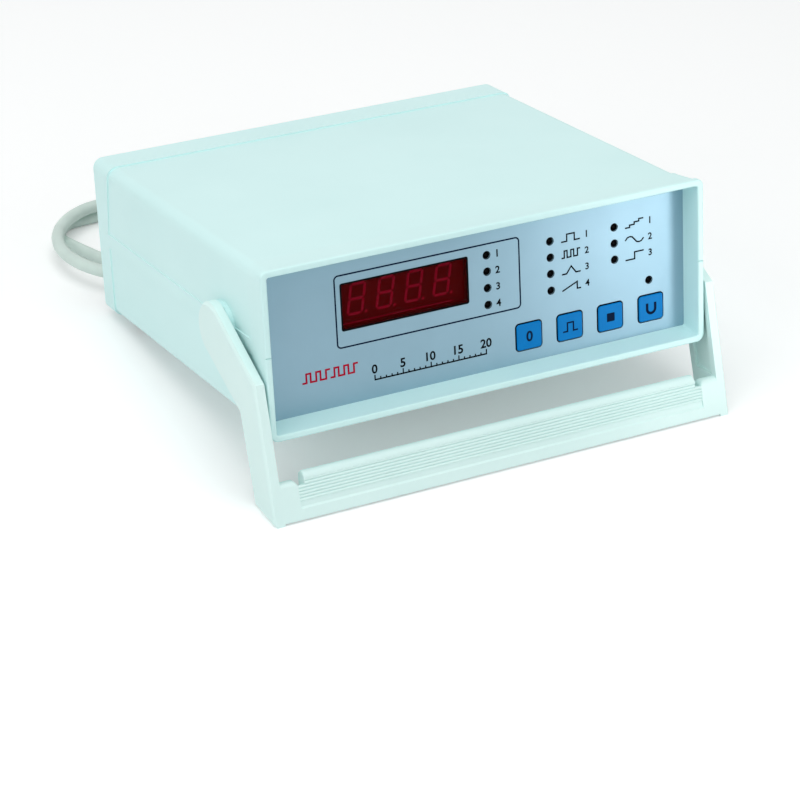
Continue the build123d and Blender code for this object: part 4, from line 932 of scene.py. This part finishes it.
@dataclass
class Bail:
    """The swinging bail: two arms, and a ribbed bar with a roll on top.

    A shallow disc lies round the pivot on both faces of an arm, and a thin rim runs round the hollow of its
    inner face. The block at its foot meets the bar in a flush joint, which stays sharp.
    """

    arm_edge: float = 0.9
    rim_edge: float = 0.3
    block_edge: float = 0.8
    roll_edge: float = 0.8
    disc: float = 13.0
    outer_face: float = 113.0
    inner_face: float = 108.0
    rim_low: float = -5.0
    block_x: Point = (99.9, 107.5)
    block_front: float = -6.5
    block_low: float = -17.2
    roll_end: float = 96.7
    roll_low: float = -14.0

    def build(self) -> None:
        """Round the arms and the ends of the roll, and dress what holds them."""
        outline = Zone(near(self.outer_face), clear=self.disc)
        rim = Zone(near(self.inner_face), z=(self.rim_low, math.inf), clear=self.disc)
        block = Zone(self.block_x, (-math.inf, self.block_front), (self.block_low, math.inf))
        roll = Zone(near(self.roll_end), z=(self.roll_low, math.inf))
        for node in ("bail_arm_left", "bail_arm_right"):
            ease(node, BAIL_ABS, Rounding(self.arm_edge, (outline,)),
                 Rounding(self.rim_edge, (rim,), steps=2, least_turn=50), Rounding(self.block_edge, (block,)))
        ease("bail_bar", BAIL_ABS, Rounding(self.roll_edge, (roll,), steps=4, least_turn=60))
        dress(ZINC_STEEL, "bail_screws", "pivot_screw_left", "pivot_screw_right", "pivot_washer_left",
              "pivot_washer_right")


# Front panel

@dataclass
class FrontPanel:
    """The printed film: outlines, the signs beside the lamps, and the marks below the window.

    What stands beside a lamp is placed from the lamp's middle.
    """

    ink: float = 0.03
    line: float = 0.7
    outline_x: Point = (-68.2, 20.5)
    outline_z: Point = (30.4, 62.8)
    outline_corner: float = 1.8
    unit_x: float = 4.55
    function_x: float = 35.96
    mode_x: float = 68.4
    rows: tuple[float, ...] = (57.7, 50.2, 42.65, 34.9)
    single_lamp: Point = (85.9, 29.6)
    hole: float = 1.6
    lamp_ring: float = 0.3
    ring_points: int = 36
    unit_numeral_x: float = 5.2
    unit_numeral: float = 3.4
    sign_corner: Point = (5.6, -1.6)
    sign_size: Point = (9.5, 3.2)
    sign_line: float = 0.68
    sign_numeral_x: float = 18.4
    sign_numeral: float = 3.2
    ruler_x: Point = (-51.8, 3.1)
    ruler_z: Point = (12.2, 12.9)
    ticks: int = 20
    ticks_per_numeral: int = 5
    half_tick: float = 0.3
    tick_tops: Point = (13.7, 14.8)
    ruler_numeral_z: float = 17.5
    ruler_numeral: float = 4.2
    trace_x: Point = (-85.6, -72.4)
    trace_z: float = 18.2
    trace_size: Point = (13.2, 4.0)
    trace_line: float = 0.85

    def build(self) -> None:
        """Print the film and dress what is behind it."""
        dress(PANEL_FILM, "panel_overlay")
        # The panel behind the film is black as painted shade in its holes
        dress(PANEL_PAINTED_SHADE, "front_panel")
        self.print_outline()
        self.print_signs()
        self.print_ruler()
        self.print_trace()
        self.print_lamp_rings()

    def print_outline(self) -> None:
        """Print the line round the window and the unit lamps."""
        form = Form()
        edges = [rounded(self.outline_x, self.outline_z, self.outline_corner, grow)
                 for grow in (self.line / 2, -self.line / 2)]
        form.band(*edges, self.ink)
        form.piece("printed_outline", NAVY_INK, "panel_overlay")

    def print_signs(self) -> None:
        """Print a numeral beside each unit lamp, and a sign and a numeral beside the others."""
        form = Form()
        for i, z in enumerate(self.rows, 1):
            form.numeral(str(i), self.unit_x + self.unit_numeral_x, z, self.unit_numeral, self.ink)
        columns = ((self.function_x, (Sign.PULSE, Sign.TRAIN, Sign.PEAK, Sign.RAMP)),
                   (self.mode_x, (Sign.STAIRS, Sign.WAVE, Sign.STEP)))
        right, down = self.sign_corner
        for x, signs in columns:
            for i, (sign, z) in enumerate(zip(signs, self.rows), 1):
                form.sign(sign, (x + right, z + down), self.sign_size, self.sign_line, self.ink)
                form.numeral(str(i), x + self.sign_numeral_x, z, self.sign_numeral, self.ink)
        form.piece("printed_signs", BLACK_INK, "panel_overlay")

    def print_ruler(self) -> None:
        """Print a row of numbered ticks, like part of a dial, below the window."""
        form = Form()
        form.slab(rectangle(self.ruler_x, self.ruler_z), self.ink)
        start, end = self.ruler_x[0] + self.half_tick, self.ruler_x[1] - self.half_tick
        for i in range(self.ticks + 1):
            x = start + (end - start) * i / self.ticks
            numbered = i % self.ticks_per_numeral == 0
            form.slab(rectangle((x - self.half_tick, x + self.half_tick),
                                (self.ruler_z[1], self.tick_tops[numbered])), self.ink)
            if numbered:
                form.numeral(str(i), x, self.ruler_numeral_z, self.ruler_numeral, self.ink)
        form.piece("printed_ruler", BLACK_INK, "panel_overlay")

    def print_trace(self) -> None:
        """Print a red pulse train in the lower left corner."""
        form = Form()
        for x in self.trace_x:
            form.sign(Sign.TRAIN, (x, self.trace_z), self.trace_size, self.trace_line, self.ink)
        form.piece("printed_trace", RED_INK, "panel_overlay")

    def print_lamp_rings(self) -> None:
        """Print the black ring round each lamp's hole."""
        form = Form()
        places = [(x, z) for x in (self.unit_x, self.function_x) for z in self.rows]
        places += [(self.mode_x, z) for z in self.rows[:3]] + [self.single_lamp]
        for place in places:
            form.band(circle(place, self.hole + self.lamp_ring, self.ring_points),
                      circle(place, self.hole, self.ring_points), self.ink)
        form.piece("lamp_rings", BLACK_INK, "panel_overlay")


@dataclass
class Display:
    """The red filter and the four seven-segment modules that show dimly through it."""

    flange: float = 2.0
    ink: float = 0.03
    ring_grow: Point = (0.35, -0.45)
    corner: float = 0.7
    modules: int = 4
    digit_height: float = 14.4
    digit_width: float = 7.9
    slant: float = 10.0
    segment: float = 1.2
    gap: float = 0.18
    foil: float = 0.03
    lift: float = 0.08
    pitch: float = 13.68
    first_x: float = -56.4
    digit_z: float = 49.6
    point_right: float = 2.0
    point_radius: float = 0.7
    point_corners: int = 12
    # Height of the painted highlight along the modules' lower edge
    ledge: float = 0.5

    def build(self) -> None:
        """Dress the filter and the modules, and set the segments on their faces."""
        dress(RED_ACRYLIC, "display_window")
        dress(DIGIT_FACE, "digit_modules")
        self.print_ring()
        self.build_segments()

    def print_ring(self) -> None:
        """Print the black ring round the window."""
        form = Form()
        form.band(*(rounded(*self.sight(), self.corner, grow) for grow in self.ring_grow), self.ink)
        form.piece("window_ring", BLACK_INK, "panel_overlay")

    def sight(self) -> tuple[Point, Point]:
        """Give the limits in x and z of what is seen of the filter, inside its flange."""
        low, high = CASE.box("display_window")
        return (low.x + self.flange, high.x - self.flange), (low.z + self.flange, high.z - self.flange)

    def build_segments(self) -> None:
        """Lay a foil over the modules, with slanted bars and a point on each, and below them a pink strip, a
        painted highlight along the modules' lower edge.
        """
        low, high = CASE.box("digit_modules")
        foil = Form()
        foil.slab(rounded(*self.sight(), self.corner), self.foil)
        foil.piece("digit_foil", DIGIT_FACE, "digit_modules")
        form = Form()
        outlines = [outline for i in range(self.modules)
                    for outline in self.digit_outlines(self.first_x + self.pitch * i)]
        # A painted highlight: a strip in the segments' pink along the modules' lower edge
        outlines.append(rectangle((low.x, high.x), (low.z, low.z + self.ledge)))
        for outline in outlines:
            form.slab(outline, self.lift, self.foil)
        form.piece("digit_segments_and_edge_highlight", SEGMENT_EPOXY, "digit_modules")

    def digit_outlines(self, x: float) -> list[list[Point]]:
        """Outline the bars of one digit.

        Args:
            x: the digit's middle.

        Returns:
            An outline for each bar and for the point.
        """
        half = self.segment / 2
        wide, tall = self.digit_width / 2 - half, self.digit_height / 2 - half
        bars = []
        for v in (-tall, 0.0, tall):
            a, b = -wide + self.gap, wide - self.gap
            bars.append([(a, v), (a + half, v - half), (b - half, v - half), (b, v), (b - half, v + half),
                         (a + half, v + half)])
        for u in (-wide, wide):
            for foot in (-tall, 0.0):
                a, b = foot + self.gap, foot + tall - self.gap
                bars.append([(u, a), (u + half, a + half), (u + half, b - half), (u, b), (u - half, b - half),
                             (u - half, a + half)])
        bars.append(circle((wide + self.point_right, -tall), self.point_radius, self.point_corners))
        lean = math.tan(math.radians(self.slant))
        return [[(x + u + v * lean, self.digit_z + v) for u, v in bar] for bar in bars]


@dataclass
class Keys:
    """Four blue keys with a printed sign each, in black printed frames."""

    edge: float = 0.12
    bevel: float = 0.5
    ink: float = 0.02
    frame_grow: Point = (0.6, 0.36)
    corner: float = 1.4
    flange: float = 1.1
    nought: float = 5.0
    pulse: Point = (7.6, 4.0)
    pulse_line: float = 0.7
    stop: Point = (-2.0, 2.0)
    stop_corner: float = 0.3
    magnet_radius: float = 2.1
    magnet_z: Point = (-0.4, 2.4)
    magnet_line: float = 1.3

    def build(self) -> None:
        """Round the caps, and print their signs and frames."""
        frames = Form()
        for i, sign in enumerate(self.signs(), 1):
            node = f"key_{i}"
            low, high = CASE.box(node)
            x, z = (low.x + self.flange, high.x - self.flange), (low.z + self.flange, high.z - self.flange)
            frames.band(*(rounded(x, z, self.corner, grow) for grow in self.frame_grow), self.ink)
            skirt = low.y + self.bevel
            cap = ease(node, KEY_ABS, Rounding(self.edge, (Zone(y=(-math.inf, skirt)),), least_turn=20))
            # The cap's sides and skirt get a near-black painted shade, for the shade of its opening
            self.darken_skirt(cap, skirt)
            sign.piece(f"{node}_sign", NAVY_INK, node, at=(sum(x) / 2, sum(z) / 2))
        frames.piece("key_frames", BLACK_INK, "panel_overlay")

    def signs(self) -> list[Form]:
        """Draw a nought, a pulse, a filled square and a horseshoe magnet, each about its key's middle.

        Returns:
            The signs, from the left key to the right one.
        """
        nought, pulse, stop, magnet = (Form() for _ in range(4))
        nought.numeral("0", 0.0, 0.0, self.nought, self.ink)
        wide, tall = self.pulse
        pulse.sign(Sign.PULSE, (-wide / 2, -tall / 2), self.pulse, self.pulse_line, self.ink)
        stop.slab(rounded(self.stop, self.stop, self.stop_corner), self.ink)
        bend, top = self.magnet_z
        poles = [(-self.magnet_radius, top), (self.magnet_radius, top)]
        legs = arc((0.0, bend), self.magnet_radius, 180, 360)
        magnet.stroke([poles[0], *legs, poles[1]], self.magnet_line, self.ink)
        return [nought, pulse, stop, magnet]

    def darken_skirt(self, cap: bpy.types.Object, start: float) -> None:
        """Paint the part of a cap that stays in its opening near-black, as painted shade of the opening.

        Args:
            cap: the key's cap.
            start: the y, in the case's frame, that the skirt starts behind.
        """
        cap.data.materials.append(KEY_SKIRT_PAINTED_SHADE.material())
        for face in cap.data.polygons:
            if (CASE.from_part @ face.center).y > start:
                face.material_index = 1


# Rear and inside

@dataclass
class RearFittings:
    """What the rear panel carries, with plain signs beside it."""

    ink: float = 0.03
    line: float = 0.6
    mark: float = 3.2
    socket_numeral: float = 3.4
    socket_gap: float = 3.2
    post_gap: float = 4.0
    switch_gap: float = 3.4

    def build(self) -> None:
        """Dress the fittings and print the signs."""
        dress(BARE_ALUMINIUM, "rear_panel")
        dress(BLACK_NYLON, "power_switch", "power_rocker", "fuse_holder", "magnet_post_black",
              "sensor_jack_1", "sensor_jack_2")
        dress(RED_NYLON, "magnet_post_red")
        dress(ZINC_STEEL, "jack_nuts", "magnet_post_nuts")
        self.print_signs()

    def print_signs(self) -> None:
        """Print numerals below the sockets, the poles' signs above the posts, and I and 0 by the switch."""
        form = Form()
        for text, node in (("1", "sensor_jack_1"), ("2", "sensor_jack_2")):
            x, low, _ = self.span(node)
            form.numeral(text, x, low - self.socket_gap, self.socket_numeral, self.ink)
        for node, ways in (("magnet_post_black", (0,)), ("magnet_post_red", (0, 90))):
            x, _, high = self.span(node)
            for way in ways:
                self.bar(form, x, high + self.post_gap, way)
        x, low, high = self.span("power_switch")
        self.bar(form, x, high + self.switch_gap, 90)
        form.numeral("0", x, low - self.switch_gap, self.mark, self.ink)
        form.piece("rear_signs", BLACK_INK, "rear_panel", Side.REAR)

    def span(self, node: str) -> tuple[float, float, float]:
        """Give a fitting's middle from left to right, as seen from behind, its foot and its top."""
        low, high = CASE.box(node)
        return -(low.x + high.x) / 2, low.z, high.z

    def bar(self, form: Form, x: float, z: float, way: float) -> None:
        """Print a short line about its middle, at an angle in degrees from level."""
        reach_x, reach_z = (self.mark / 2 * f(math.radians(way)) for f in (math.cos, math.sin))
        form.stroke([(x - reach_x, z - reach_z), (x + reach_x, z + reach_z)], self.line, self.ink)


@dataclass
class Inside:
    """The electronics, which show only when the case is opened."""

    def build(self) -> None:
        """Dress everything inside the case."""
        dress(LAMP_EPOXY, "indicator_lamps")
        dress(SOLDER_MASK, "display_board", "main_board")
        dress(ZINC_STEEL, "display_board_screws", "main_board_screws", "transformer_screws",
              "transformer_bracket", "crystal")
        dress(BLACK_NYLON, "key_switches", "driver_chips", "control_chip", "voltage_regulator",
              "bridge_rectifier", "ribbon_headers", "capacitors")
        dress(BARE_ALUMINIUM, "heat_sink")
        dress(WIRE_VINYL, "ribbon_cable", "mains_wires")
        dress(CORE_STEEL, "transformer_core")
        dress(COPPER_WINDING, "transformer_coil")


def main() -> None:
    """Build the timer, sub-assembly by sub-assembly."""
    logging.basicConfig(level=logging.INFO, format="%(name)s: %(message)s")
    bpy.context.scene.view_settings.view_transform = "Standard"
    for part in (Studio(), MainsCord(), Enclosure(), Bail(), FrontPanel(), Display(), Keys(), RearFittings(),
                 Inside()):
        LOG.info("building %s", type(part).__name__)
        part.build()


if __name__ == "__main__":
    main()
